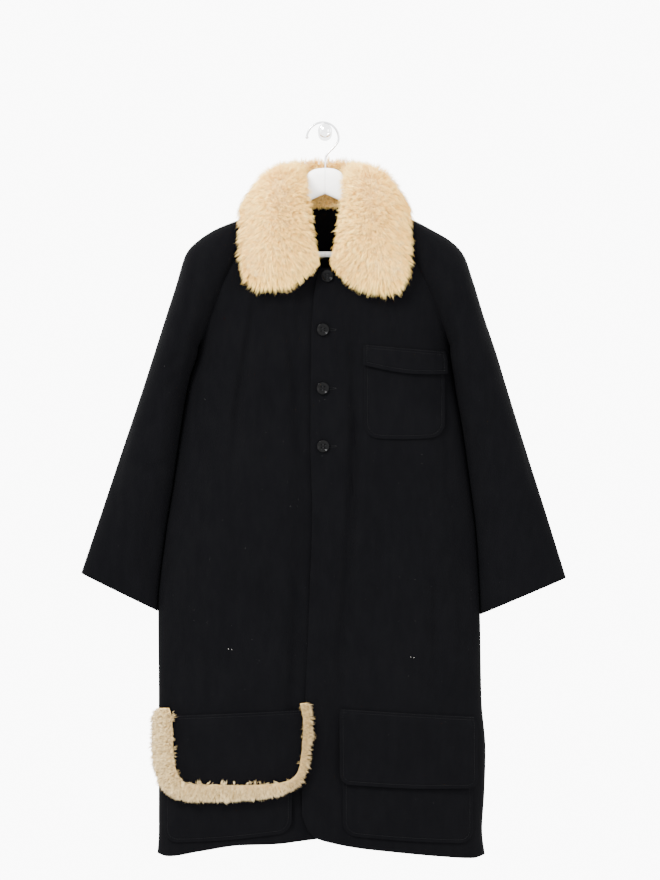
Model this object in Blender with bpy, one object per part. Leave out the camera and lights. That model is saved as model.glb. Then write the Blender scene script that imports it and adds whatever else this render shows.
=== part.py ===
"""A fur-trimmed wool coat, hanging on a shaped hanger from a round wall peg.

Metres, +Z up. The origin is the middle of the peg's face against the wall, and the coat's front looks towards -Y.
The garment's own tables are in millimetres from the hanging point, which is the top of the peg in the plane where
the coat hangs: x to the viewer's right, drop downwards. "Right" and "left" in names are the wearer's.
"""

import math

import bmesh
import bpy
import numpy as np
from mathutils import Vector

MM = 0.001

# ---- driving sizes, in millimetres ----
PEG_RADIUS = 12.3
PEG_REACH = 105.0  # from the wall to the plane where the coat hangs
PEG_NOSE = 19.0  # how far the peg runs on in front of that plane
PEG_GAP = 0.3  # between the peg's top and the hanging point
WOOL = 2.4  # thickness of the coat cloth
PATCH = 2.0  # thickness of pockets and flaps
SEAM = 0.3  # gap between two pieces that are sewn together
LAY = 0.7  # gap between a panel and what lies on it
TURNING_GAP = 1.6  # how much wider that gap gets where the panel turns to the side
OVERLAP = 43.0  # how far the under front runs on beneath the top one
UNDER_GAP = 1.8  # between the two fronts where they overlap
TUCK_START = 44.0  # where it starts to lie back, before the top front's edge
TUCK_RUN = 28.0  # and how far it takes to be all the way back
SLEEVE_GAP = 3.0  # between a sleeve and the side of the body that it hangs against
BUTTON_RADIUS = 11.0
BUTTON_THICK = 3.6
SKIN = 1.5  # thickness of the fur's skin
TRIM_PILE = 17.0  # height of the fur strip on the flap

ARMPIT = 7.0  # row of the sleeve table where sleeve, front and back meet


def table(names, *rows):
    """A small table: one array for each named column."""
    return dict(zip(names.split(), np.array(rows, float).T))


# The body below the shoulders: its two sides and how far the front stands off the hanging plane. Above the armpit
# (drop 392) the sides are where the same curve would end if the sleeves were not there.
BODY = table(
    "drop left right depth",
    (130, -242, 240, 18),
    (190, -242, 240, 31),
    (260, -239, 237, 42),
    (330, -231, 229, 49),
    (392, -222, 219, 53),
    (450, -238, 226, 55),
    (530, -252, 240, 56),
    (630, -266, 254, 58),
    (720, -280, 265, 59),
    (855, -293, 272, 60),
    (1010, -292, 275, 61),
    (1100, -292, 282, 61),
    (1170, -292, 280, 62),
    (1240, -292, 276, 62),
    (1290, -295, 282, 63),
)

# Each raglan sleeve: a row runs from the overarm line to the raglan seam, and below the armpit to the underarm line,
# where it would hang by itself.
RIGHT_SLEEVE = table(
    "row over_x over_drop under_x under_drop depth",
    (0, -79, 137, -86, 150, 22),
    (1, -112, 152, -122, 190, 31),
    (2, -148, 167, -150, 226, 37),
    (3, -192, 185, -174, 271, 43),
    (4, -219, 202, -187, 303, 47),
    (5, -243, 226, -203, 345, 51),
    (6, -262, 285, -214, 374, 53),
    (7, -283, 350, -222, 392, 54),
    (8, -303, 413, -247, 440, 52),
    (9, -324, 478, -259, 492, 49),
    (11, -359, 582, -269, 590, 43),
    (13, -393, 684, -277, 690, 36),
    (15, -428, 788, -295, 854, 27),
)
LEFT_SLEEVE = table(
    "row over_x over_drop under_x under_drop depth",
    (0, 79, 137, 86, 150, 22),
    (1, 114, 151, 121, 190, 31),
    (2, 154, 168, 151, 228, 37),
    (3, 186, 185, 172, 270, 43),
    (4, 220, 205, 187, 301, 47),
    (5, 243, 229, 202, 340, 51),
    (6, 261, 279, 213, 372, 53),
    (7, 279, 338, 219, 392, 54),
    (8, 300, 400, 236, 440, 52),
    (9, 320, 466, 243, 496, 49),
    (11, 353, 573, 257, 596, 43),
    (13, 387, 680, 268, 700, 36),
    (15, 423, 796, 274, 860, 27),
)

# The top front's free edge, down to the middle of its rounded corner.
FRONT_EDGE = table(
    "drop x",
    (254, -10),
    (303, -19),
    (387, -24),
    (555, -25),
    (681, -22),
    (812, -26),
    (1006, -34),
    (1150, -40),
    (1205, -40),
    (1236, -30),
)
LEFT_HEM = table("x drop", (-30, 1236), (-17, 1249), (12, 1258), (60, 1267), (112, 1273), (202, 1282), (260, 1286), (281, 1281))
RIGHT_HEM = table("x drop", (-294, 1279), (-277, 1283), (-218, 1273), (-148, 1262), (-90, 1260), (-29, 1253), (13, 1247))
BACK_HEM = table("x drop", (-294, 1279), (-270, 1280), (-150, 1258), (0, 1245), (150, 1260), (258, 1282), (281, 1281))
NECK_DROP = 254.0  # front neckline at the middle
NECK_SIDE = (86.0, 150.0)  # x and drop where the neckline meets the raglan seams
BACK_NECK_DROP = 146.0
BACK_NECK_DIP = 4.0  # how far the seam's ends lie below the middle of the back neckline

# Soft troughs where the cloth hangs in folds. bow is how far the middle of the line swings sideways.
FRONT_FOLDS = table(
    "top bottom top_x bottom_x bow width depth",
    (300, 640, -116, -166, -8, 13, 4.0),
    (308, 590, -72, -42, 4, 12, 2.0),
    (800, 1040, -50, -58, 3, 18, 4.0),
    (306, 1110, 50, 10, 14, 13, 4.5),
    (770, 1000, 186, 182, 10, 16, 2.5),
)
BACK_FOLDS = table(
    "top bottom top_x bottom_x bow width depth",
    (260, 760, -120, -150, -6, 15, 4.0),
    (300, 1080, 64, 30, 10, 14, 4.0),
    (700, 1120, -40, -66, 6, 18, 3.5),
    (420, 900, 160, 176, -6, 15, 3.0),
)

BUTTONS = table("x drop", (4.2, 268), (-3.5, 362), (-3.9, 464.5), (-3.3, 565.6))

# Patch pockets and flaps: corners, corner radius and how the lower edge sags between them.
PATCHES = {
    "chest_pocket": dict(left=68, right=209, tops=(408, 418), bottoms=(551, 550), radius=26, sag=3),
    "chest_flap": dict(left=67, right=211, tops=(388, 399), bottoms=(426, 441), radius=4, sag=2),
    "left_pocket": dict(left=31, right=258, tops=(1050, 1064), bottoms=(1248, 1261), radius=24, sag=2),
    "left_flap": dict(left=26, right=264, tops=(1024, 1039), bottoms=(1155, 1164), radius=17, sag=3),
    "right_pocket": dict(left=-280, right=-58, tops=(1063, 1052), bottoms=(1260, 1240), radius=24, sag=3),
    "right_flap": dict(left=-276, right=-33, tops=(1037, 1026), bottoms=(1174, 1168), radius=24, sag=2),
}
FLAP_RISE = PATCH + LAY  # a flap steps up over its pocket
FLAP_STEP = 14.0  # and does so over this much of its height
FLAP_SWING = 3.0  # how far its free edge stands away

# The fur strip's middle line round the right flap, its width and its height above the flap.
TRIM = table(
    "s x drop width rise",
    (0, -283, 1029, 16, 0.5),
    (1, -283, 1050, 32, 0.9),
    (2, -281, 1120, 36, 1.0),
    (3, -272, 1158, 36, 1.0),
    (4, -240, 1173, 34, 1.0),
    (5, -160, 1174, 34, 1.0),
    (6, -85, 1169, 28, 0.9),
    (7, -48, 1158, 26, 0.9),
    (8, -31, 1130, 24, 0.8),
    (9, -28, 1060, 24, 0.8),
    (10, -30, 1022, 14, 0.5),
)

# The fur collar's skin, from the front middle round to the back middle: its fold and its free edge (tip), and a
# point that the fall passes on its way (bend). y is towards the wall. The other half mirrors it.
COLLAR = table(
    "s fold_x fold_y fold_drop bend_x bend_y bend_drop tip_x tip_y tip_drop",
    (0, 14, -60, 247, 70, -61, 278, 128, -53, 272),
    (1, 24, -68, 222, 88, -70, 240, 137, -52, 250),
    (2, 33, -67, 184, 92, -72, 204, 139, -48, 220),
    (3, 38, -60, 146, 90, -68, 160, 139, -42, 190),
    (4, 42, -42, 108, 88, -52, 114, 138, -30, 164),
    (5, 47, -8, 88, 90, -6, 101, 136, 2, 149),
    (6, 42, 22, 86, 84, 40, 104, 128, 34, 168),
    (7, 26, 34, 84, 52, 66, 97, 80, 60, 188),
    (8, 0, 36, 84, 0, 76, 97, 0, 66, 196),
)
# How far the fur stands off the skin from the neckline (spot 0) over the fold (spot 3) to the free edge (spot 11).
PILE = table("spot height", (0, 4), (2, 11), (3, 13), (5, 17), (7, 23), (10, 22), (11, 15))
TIP_REACH = 12.0  # how far the fur runs on past the skin's free edge
TIP_RISE = 6.0
LOBE_DROOP = 9.0  # the viewer's right lobe hangs this much lower than the other
DROOP_FROM = 150.0  # it starts to at this drop
DROOP_RUN = 110.0

# The hanger's outline, the same on both sides of the middle out to where the coat's shoulder takes over.
HANGER = table(
    "x top bottom thick",
    (0, 77, 123, 7),
    (14, 78.5, 129, 7),
    (27, 84, 135, 7),
    (36, 97, 139, 7),
    (46, 117, 144, 6.5),
    (62, 133, 152, 6),
    (80, 141.5, 160, 6),
)
ARM_HEIGHT = 19.0
ARM_GAP = 0.7  # between the arm's top and the cloth it carries
ARM_END = 208.0
LUG = 5.0  # length of the block at each arm's end that the bar butts on
LUG_FACE = 0.5
BAR_DROP = 229.0
BAR_RADIUS = 5.0
WIRE_RADIUS = 1.9
STEM_FOOT = 77.5  # drop of the wire's lower end, just above the hanger
HOOK_RADIUS = 28.0
HOOK_MIDDLE = (-4.0, 25.3)  # x and drop of the hook's round part

COLOURS = {
    "wool": (0.010, 0.010, 0.012),
    "fur": (0.86, 0.72, 0.54),
    "button": (0.012, 0.012, 0.013),
    "hanger": (0.90, 0.90, 0.89),
    "steel": (0.78, 0.78, 0.79),
    "peg": (0.86, 0.86, 0.86),
}
ROUGHNESS = {"wool": 0.95, "fur": 0.9, "button": 0.25, "hanger": 0.35, "steel": 0.15, "peg": 0.2}


# ---- curves ----
def smooth(keys, values, at):
    """A curve through the points that never swings past them (monotone cubic)."""
    keys, values, at = np.asarray(keys), np.asarray(values), np.asarray(at, float)
    step = np.diff(keys)
    slope = np.diff(values) / step
    same_way = slope[:-1] * slope[1:] > 0
    inner = np.zeros(len(keys) - 2)
    inner[same_way] = 2 / (1 / slope[:-1][same_way] + 1 / slope[1:][same_way])
    tangent = np.concatenate([slope[:1], inner, slope[-1:]])
    at = np.clip(at, keys[0], keys[-1])
    i = np.clip(np.searchsorted(keys, at, side="right") - 1, 0, len(keys) - 2)
    t = (at - keys[i]) / step[i]
    rise = t * t * (3 - 2 * t)
    bends = t * (1 - t) ** 2 * tangent[i] - t * t * (1 - t) * tangent[i + 1]
    return values[i] * (1 - rise) + values[i + 1] * rise + step[i] * bends


def read(tab, name, at, key="drop"):
    """The value of a table's column at a key, on a smooth curve between its rows."""
    return smooth(tab[key], tab[name], at)


def ease(x):
    """0 below 0, 1 above 1, and a soft step between."""
    x = np.clip(x, 0, 1)
    return x * x * (3 - 2 * x)


# ---- the cloth's surface ----
def folds(tab, x, drop):
    """How far the folds press the cloth in at each point."""
    pressed = np.zeros_like(x)
    for top, bottom, top_x, bottom_x, bow, width, deep in zip(*tab.values()):
        along = np.clip((drop - top) / (bottom - top), 0, 1)
        swing = np.sin(math.pi * along)
        line = top_x + (bottom_x - top_x) * along + bow * swing
        pressed += deep * np.sqrt(np.clip(swing, 0, 1)) * np.exp(-(((x - line) / width) ** 2))
    return pressed


def body_depth(x, drop, fold_table=None):
    """How far the body's cloth stands off the hanging plane, on its outer side.

    Across the coat the depth follows (1 - |across|^3)^0.5, so that the middle is flat and the sides are round."""
    x, drop = np.broadcast_arrays(np.asarray(x, float), np.asarray(drop, float))
    left = read(BODY, "left", drop)
    right = read(BODY, "right", drop)
    across = np.clip(abs(x - (left + right) / 2) / ((right - left) / 2), 0, 1)
    depth = read(BODY, "depth", drop) * np.sqrt(1 - across**3)
    if fold_table is not None:
        depth = np.maximum(depth - folds(fold_table, x, drop) * np.sqrt(1 - across**6), 0)
    return depth


def coons(top, bottom, left, right, across, down):
    """Fills four edge curves with a grid: rows down the left and right curves, columns along the top and bottom."""
    u, v = across[None, :, None], down[:, None, None]
    between_rows = top[None] * (1 - v) + bottom[None] * v
    between_sides = left[:, None] * (1 - u) + right[:, None] * u
    corners = (top[0] * (1 - u) + top[-1] * u) * (1 - v) + (bottom[0] * (1 - u) + bottom[-1] * u) * v
    return between_rows + between_sides - corners


def normals(grid):
    """Unit normals of a grid of points."""
    down = np.gradient(grid, axis=0)
    along = np.gradient(grid, axis=1)
    n = np.cross(down, along)
    return n / np.maximum(np.linalg.norm(n, axis=2, keepdims=True), 1e-9)


def facing(n, side):
    """Turns normals so that they point to the front (side -1) or to the back (side 1)."""
    flip = np.sign(n[n.shape[0] // 2, n.shape[1] // 2, 1] * side)
    return n * flip


def unit(v):
    return v / np.maximum(np.linalg.norm(v, axis=-1, keepdims=True), 1e-9)


def raglan_rows(count):
    """Rows from the neck to the armpit."""
    return np.linspace(0, ARMPIT, count + 1)


def sleeve_rows(count):
    """Rows from the neck down to the cuff: the raglan rows and then the tube."""
    return np.concatenate([raglan_rows(RAGLAN_ROWS), np.linspace(ARMPIT, 15, count - RAGLAN_ROWS + 1)[1:]])


RAGLAN_ROWS = 8
BODY_ROWS = 25
SLEEVE_ROWS = 17
SLEEVE_COLUMNS = 7
FRONT_COLUMNS = 16
BACK_COLUMNS = 24


def against_body(rows, x, drop):
    """The underarm line: below the armpit it swings in, or out, until it is SLEEVE_GAP from the body's side."""
    side_name, outward = ("left", -1) if x[0] < 0 else ("right", 1)
    beside = read(BODY, side_name, drop) + outward * SLEEVE_GAP
    return x + (beside - x) * ease((rows - ARMPIT) / 0.5)


def sleeve_grid(tab, side):
    """Half a sleeve: each row is part of a rounded section, from the overarm line round to the seam.

    The section's depth follows (1 - |t|^2.4)^0.5, with t from -1 at the overarm line. Above the armpit the row ends
    where that depth is the body's own at the raglan seam, and below it runs on to t = 1 at the underarm line."""
    rows = sleeve_rows(SLEEVE_ROWS)
    over_x, over_drop, under_x, under_drop, depth = (
        read(tab, name, rows, "row") for name in ("over_x", "over_drop", "under_x", "under_drop", "depth")
    )
    under_x = against_body(rows, under_x, under_drop)
    seam_depth = np.where(rows < ARMPIT, body_depth(under_x, under_drop), 0)
    end = (1 - np.minimum(seam_depth / depth, 0.999) ** 2) ** (1 / 2.4)
    angle = np.linspace(0, 1, SLEEVE_COLUMNS + 1)[None] * np.arccos(-end)[:, None]
    t = -np.cos(angle)
    share = ((t + 1) / (1 + end[:, None]))[..., None]
    over = np.stack([over_x, -over_drop], 1)[:, None]
    under = np.stack([under_x, -under_drop], 1)[:, None]
    plan = over * (1 - share) + under * share
    out = depth[:, None] * np.sqrt(np.clip(1 - abs(t) ** 2.4, 0, 1))
    out[:, 0] = 0
    out[:, -1] = seam_depth
    return np.stack([plan[..., 0], side * out, plan[..., 1]], 2)


def side_rows(tab, side_name):
    """The body's side edge, from the neck along the raglan seam to the armpit and on down the side seam."""
    raglan = raglan_rows(RAGLAN_ROWS)
    x = read(tab, "under_x", raglan, "row")
    drop = read(tab, "under_drop", raglan, "row")
    hem = HEM_END[side_name]
    lower = np.linspace(392, hem, BODY_ROWS - RAGLAN_ROWS + 1)[1:]
    return np.concatenate([x, read(BODY, side_name, lower)]), np.concatenate([drop, lower])


HEM_END = {"left": 1279.0, "right": 1281.0}


def curve_points(tab, count, key="x"):
    """Points evenly spaced along a table's curve, as x and height."""
    fine = np.linspace(tab[key][0], tab[key][-1], 200)
    other = "drop" if key == "x" else "x"
    x, drop = (fine, read(tab, other, fine, key)) if key == "x" else (read(tab, other, fine, key), fine)
    length = np.concatenate([[0], np.cumsum(np.hypot(np.diff(x), np.diff(drop)))])
    at = np.linspace(0, length[-1], count)
    return np.stack([np.interp(at, length, x), -np.interp(at, length, drop)], 1)


def front_neckline(end_x, edge_x, count):
    """A quarter ellipse from the raglan seam's end down to the front edge."""
    end_drop = NECK_SIDE[1]
    turn = np.linspace(math.asin(np.clip(edge_x / end_x, -1, 1)), math.pi / 2, count)
    x = end_x * np.sin(turn)
    drop = end_drop + (NECK_DROP - end_drop) * np.cos(turn)
    return np.stack([x, -drop], 1)


def front_plan(sleeve, side_name, edge_shift, hem):
    """Plan of a front panel in x and height: columns from the free edge to the side, rows from neck to hem."""
    side_x, side_drop = side_rows(sleeve, side_name)
    top_drop, foot_drop = FRONT_EDGE["drop"][0], -hem[0, 1]
    edge_drop = np.interp(side_drop, [side_drop[0], 392, side_drop[-1]], [top_drop, 415, foot_drop])
    edge_x = read(FRONT_EDGE, "x", edge_drop) + edge_shift
    edge_x[-1] = hem[0, 0]
    across = np.linspace(0, 1, FRONT_COLUMNS + 1)
    across = 0.45 * across + 0.55 * np.sin(across * math.pi / 2)
    neck = front_neckline(side_x[0], edge_x[0], 200)
    neck = resample(neck, across)
    foot = resample(hem, across)
    edge = np.stack([edge_x, -edge_drop], 1)
    edge[0] = neck[0]
    side = np.stack([side_x, -side_drop], 1)
    down = (edge_drop - edge_drop[0]) / (edge_drop[-1] - edge_drop[0])
    return coons(neck, foot, edge, side, across, down)


def resample(line, shares):
    """Points of a line at the given shares of its length."""
    length = np.concatenate([[0], np.cumsum(np.linalg.norm(np.diff(line, axis=0), axis=1))])
    at = shares * length[-1]
    return np.stack([np.interp(at, length, line[:, k]) for k in range(line.shape[1])], 1)


def tuck(x, drop):
    """How far the under front lies back beneath the top one."""
    edge = read(FRONT_EDGE, "x", drop)
    return (WOOL + UNDER_GAP) * ease((x - edge + TUCK_START) / TUCK_RUN)


def front_grid(sleeve, side_name, edge_shift, hem, under):
    plan = front_plan(sleeve, side_name, edge_shift, hem)
    x, drop = plan[..., 0], -plan[..., 1]
    depth = body_depth(x, drop, FRONT_FOLDS)
    depth[:, -1] = body_depth(x[:, -1], drop[:, -1])
    depth[RAGLAN_ROWS:, -1] = 0
    if under:
        depth = depth - tuck(x, drop)
    return np.stack([x, -depth, -drop], 2)


def back_grid():
    """The back: from the left side seam across to the right one."""
    left_x, left_drop = side_rows(RIGHT_SLEEVE, "left")
    right_x, right_drop = side_rows(LEFT_SLEEVE, "right")
    across = np.linspace(0, 1, BACK_COLUMNS + 1)
    across = 0.45 * across + 0.55 * (1 - np.cos(across * math.pi)) / 2
    x = left_x[0] + (right_x[0] - left_x[0]) * across
    neck = np.stack([x, -(BACK_NECK_DROP + BACK_NECK_DIP * (2 * across - 1) ** 2)], 1)
    foot = resample(curve_points(BACK_HEM, 200), across)
    left = np.stack([left_x, -left_drop], 1)
    right = np.stack([right_x, -right_drop], 1)
    down = (left_drop - left_drop[0]) / (left_drop[-1] - left_drop[0])
    plan = coons(neck, foot, left, right, across, down)
    x, drop = plan[..., 0], -plan[..., 1]
    depth = body_depth(x, drop, BACK_FOLDS)
    for column in (0, -1):
        depth[:, column] = body_depth(x[:, column], drop[:, column])
        depth[RAGLAN_ROWS:, column] = 0
    return np.stack([x, depth, -drop], 2)


def flat_to_plane(n):
    """Normals of a seam that lies in the hanging plane have no part across that plane."""
    n = n.copy()
    n[..., 1] = 0
    return unit(n)


STEEPEST_MITRE = 0.4


def join_raglan(body_n, body_column, sleeve_n):
    """Gives the raglan seam one shared mitre in both pieces. Below it each lies in the hanging plane."""
    shared = unit(body_n[:RAGLAN_ROWS, body_column] + sleeve_n[:RAGLAN_ROWS, -1])
    shared[0] = shared[1]
    sleeve_n[0] = sleeve_n[1]
    lean = np.sum(shared * sleeve_n[:RAGLAN_ROWS, -1], axis=1, keepdims=True)
    shared = shared / np.maximum(lean, STEEPEST_MITRE)
    body_n[:RAGLAN_ROWS, body_column] = shared
    sleeve_n[:RAGLAN_ROWS, -1] = shared
    body_n[RAGLAN_ROWS:, body_column] = flat_to_plane(body_n[RAGLAN_ROWS:, body_column])
    sleeve_n[RAGLAN_ROWS:, -1] = flat_to_plane(sleeve_n[RAGLAN_ROWS:, -1])


def open_seams(grid, columns):
    """Moves the sewn edge columns in by half a seam gap."""
    grid = grid.copy()
    for column in columns:
        inner = 1 if column == 0 else -2
        grid[:, column] += unit(grid[:, inner] - grid[:, column]) * SEAM / 2
    return grid


# ---- meshes ----
def wall_mesh(outer, inner):
    """Closes two grids of the same size into one sheet with a rim."""
    rows, columns = outer.shape[:2]
    points = np.concatenate([outer.reshape(-1, 3), inner.reshape(-1, 3)])
    index = np.arange(rows * columns).reshape(rows, columns)
    a, b, c, d = index[:-1, :-1], index[:-1, 1:], index[1:, 1:], index[1:, :-1]
    front = np.concatenate([np.stack([a, b, c], 2).reshape(-1, 3), np.stack([a, c, d], 2).reshape(-1, 3)])
    back = front[:, ::-1] + rows * columns
    loop = np.concatenate([index[0, :-1], index[:-1, -1], index[-1, :0:-1], index[:0:-1, 0]])
    after = np.roll(loop, -1)
    rim = np.stack([after, loop, loop + rows * columns, after + rows * columns], 1)
    return points, front.tolist() + back.tolist() + rim.tolist()


def ring_mesh(rings):
    """A closed sweep: rings of points joined in order and capped at both ends."""
    count, around = rings.shape[:2]
    index = np.arange(count * around).reshape(count, around)
    beside = np.roll(index, -1, axis=1)
    quads = np.stack([index[:-1], beside[:-1], beside[1:], index[1:]], 2).reshape(-1, 4)
    return rings.reshape(-1, 3), quads.tolist() + [index[0, ::-1].tolist(), index[-1].tolist()]


def make_object(name, points, faces, material, smooth_angle=40):
    """A mesh object from points in millimetres, hung from the hanging point."""
    mesh = bpy.data.meshes.new(name)
    mesh.from_pydata((np.asarray(points) * MM).tolist(), [], faces)
    work = bmesh.new()
    work.from_mesh(mesh)
    bmesh.ops.recalc_face_normals(work, faces=work.faces)
    bmesh.ops.triangulate(work, faces=[f for f in work.faces if len(f.verts) > 4])
    work.to_mesh(mesh)
    work.free()
    mesh.shade_smooth()
    mesh.set_sharp_from_angle(angle=math.radians(smooth_angle))
    mesh.materials.append(MATERIALS[material])
    piece = bpy.data.objects.new(name, mesh)
    bpy.context.scene.collection.objects.link(piece)
    piece.parent = HANGING_POINT
    return piece


def make_material(name):
    material = bpy.data.materials.new(name)
    material.use_nodes = True
    shader = material.node_tree.nodes["Principled BSDF"]
    shader.inputs["Base Color"].default_value = (*COLOURS[name], 1)
    shader.inputs["Roughness"].default_value = ROUGHNESS[name]
    shader.inputs["Metallic"].default_value = 1.0 if name == "steel" else 0.0
    return material


def clear_scene():
    for old in list(bpy.data.objects):
        bpy.data.objects.remove(old, do_unlink=True)


# ---- cloth pieces ----
def make_cloth():
    """The two fronts, the back and the four sleeve halves, with shared seams."""
    left_hem = curve_points(LEFT_HEM, 200)
    right_hem = curve_points(RIGHT_HEM, 200)[::-1]
    fronts = {
        "right_front": front_grid(RIGHT_SLEEVE, "left", OVERLAP, right_hem, under=True),
        "left_front": front_grid(LEFT_SLEEVE, "right", 0.0, left_hem, under=False),
    }
    back = back_grid()
    back_n = facing(normals(back), 1)
    for name, grid in fronts.items():
        body_n = facing(normals(grid), -1)
        sleeve_tab = RIGHT_SLEEVE if name == "right_front" else LEFT_SLEEVE
        sleeve_name = name.replace("front", "sleeve")
        front_half = sleeve_grid(sleeve_tab, -1)
        back_half = sleeve_grid(sleeve_tab, 1)
        front_n = facing(normals(front_half), -1)
        rear_n = facing(normals(back_half), 1)
        join_raglan(body_n, -1, front_n)
        join_raglan(back_n, 0 if name == "right_front" else -1, rear_n)
        for half_n in (front_n, rear_n):
            half_n[:, 0] = flat_to_plane(half_n[:, 0])
        add_cloth(name, grid, body_n, [-1])
        add_cloth(sleeve_name + "_front", front_half, front_n, [0, -1])
        add_cloth(sleeve_name + "_back", back_half, rear_n, [0, -1])
    add_cloth("back", back, back_n, [0, -1])


def add_cloth(name, grid, n, sewn):
    outer = open_seams(grid, sewn)
    inner = open_seams(grid - n * WOOL, sewn)
    make_object(name, *wall_mesh(outer, inner), "wool")


# ---- pockets, flaps and the fur strip ----
def on_front(x, drop, out):
    """Points of the fronts' outer face, moved out along its normal, a little more where it turns to the side."""
    edge = 4.0
    inside = np.clip(x, read(BODY, "left", drop) + edge, read(BODY, "right", drop) - edge)
    step = 0.5

    def depth(at_x, at_drop):
        return body_depth(at_x, at_drop, FRONT_FOLDS)

    slope_x = (depth(inside + step, drop) - depth(inside - step, drop)) / (2 * step)
    slope_drop = (depth(inside, drop + step) - depth(inside, drop - step)) / (2 * step)
    n = unit(np.stack([-slope_x, -np.ones_like(x), slope_drop], -1))
    base = np.stack([x, -depth(inside, drop), -drop], -1)
    spread = np.asarray(out) + TURNING_GAP * (1 + n[..., 1])
    return base + n * spread[..., None]


PATCH_ROWS = 10
PATCH_COLUMNS = 10


def patch_plan(left, right, tops, bottoms, radius, sag):
    """Rows of a patch from its top edge down, drawn in round its two lower corners."""
    height = (bottoms[0] + bottoms[1] - tops[0] - tops[1]) / 2
    straight = np.linspace(0, height - radius, PATCH_ROWS - 4)
    turn = np.linspace(0, math.pi / 2, 6)[1:]
    down = np.concatenate([straight, height - radius + radius * np.sin(turn)])
    draw_in = np.concatenate([np.zeros(len(straight)), radius * (1 - np.cos(turn))])
    share = np.linspace(0, 1, PATCH_COLUMNS + 1)[None]
    share = 0.4 * share + 0.3 * (1 - np.cos(share * math.pi))
    x = (left + draw_in)[:, None] * (1 - share) + (right - draw_in)[:, None] * share
    place = (x - left) / (right - left)
    top = tops[0] + (tops[1] - tops[0]) * place
    bottom = bottoms[0] + (bottoms[1] - bottoms[0]) * place + sag * np.sin(math.pi * place)
    return x, top + (bottom - top) * (down / height)[:, None], down


def make_patches():
    for name, shape in PATCHES.items():
        x, drop, down = patch_plan(**shape)
        lift = np.full_like(x, LAY)
        if name.endswith("flap"):
            climb = FLAP_RISE * ease((down - 2) / FLAP_STEP) + FLAP_SWING * (down / down[-1]) ** 2
            lift = lift + climb[:, None]
        make_object(name, *wall_mesh(on_front(x, drop, lift + PATCH), on_front(x, drop, lift)), "wool")


TRIM_STATIONS = 36
TRIM_SIDES = 7
TRIM_TOP = 1028.0  # drop of the flap's top edge under the strip
TRIM_DEPTH = 140.0  # and how far the flap reaches below it
TRIM_GAP = 2.2  # between the flap and the strip's underside


def make_trim():
    """The fur strip: a low half-round section that follows the flap's edge and lies on it."""
    at = np.linspace(0, 10, TRIM_STATIONS)
    x, drop, width, rise = (read(TRIM, name, at, "s") for name in ("x", "drop", "width", "rise"))
    along = unit(np.gradient(np.stack([x, drop], 1), axis=0))
    turn = np.linspace(0, math.pi, TRIM_SIDES + 1)
    reach = np.cos(turn)[None] * (width / 2)[:, None]
    height = np.sin(turn)[None] * (TRIM_PILE * rise)[:, None]
    across_x = x[:, None] + reach * -along[:, 1:]
    across_drop = drop[:, None] + reach * along[:, :1]
    below = across_drop - TRIM_TOP
    swing = FLAP_SWING * np.clip(below / TRIM_DEPTH, 0, 1) ** 2
    floor = LAY + PATCH + FLAP_RISE * ease(below / FLAP_STEP) + swing + TRIM_GAP
    make_object("right_flap_fur", *ring_mesh(on_front(across_x, across_drop, floor + height)), "fur")


# ---- fur collar ----
FRONT_STATIONS = 12  # from the front end to the shoulder's ridge
BACK_STATIONS = 9  # from there to the back middle
COLLAR_FOOT = 5.5  # thickness of the collar at the neckline
COLLAR_GAP = 1.3  # between the neckline and the collar
COLLAR_START = 12.0  # half the gap between its two front ends
STAND_POINTS = 3
FALL_POINTS = 8


def neck_seam():
    """The neckline's outer edge from the front middle over the shoulder to the back middle, on the +x side."""
    end_x, end_drop = NECK_SIDE
    turn = np.linspace(math.asin(COLLAR_START / end_x), math.pi / 2, 40)
    x = end_x * np.sin(turn)
    drop = end_drop + (NECK_DROP - end_drop) * np.cos(turn)
    front = np.stack([x, -body_depth(x, drop), -drop], 1)
    shoulder_front = sleeve_grid(LEFT_SLEEVE, -1)[0, ::-1]
    shoulder_back = sleeve_grid(LEFT_SLEEVE, 1)[0]
    x = np.linspace(end_x, 0, 30)
    drop = BACK_NECK_DROP + BACK_NECK_DIP * (x / end_x) ** 2
    back = np.stack([x, body_depth(x, drop), -drop], 1)
    front = resample(np.concatenate([front[:-1], shoulder_front]), np.linspace(0, 1, FRONT_STATIONS))
    back = resample(np.concatenate([shoulder_back, back[1:]]), np.linspace(0, 1, BACK_STATIONS))
    return np.concatenate([front, back[1:]])


def seam_frame(seam):
    """At each point of the neckline: the way off the cloth's edge, and the level way through the cloth to its inside."""
    turn = np.clip(seam[:, 1] / 12, -1, 1)
    outward = np.stack([np.zeros_like(turn), turn, np.sqrt(1 - turn**2)], 1)
    off = unit(np.cross(outward, np.gradient(seam, axis=0)))
    inside = unit((0.4 * off - outward) * np.array([1, 1, 0]))
    return off, inside


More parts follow.
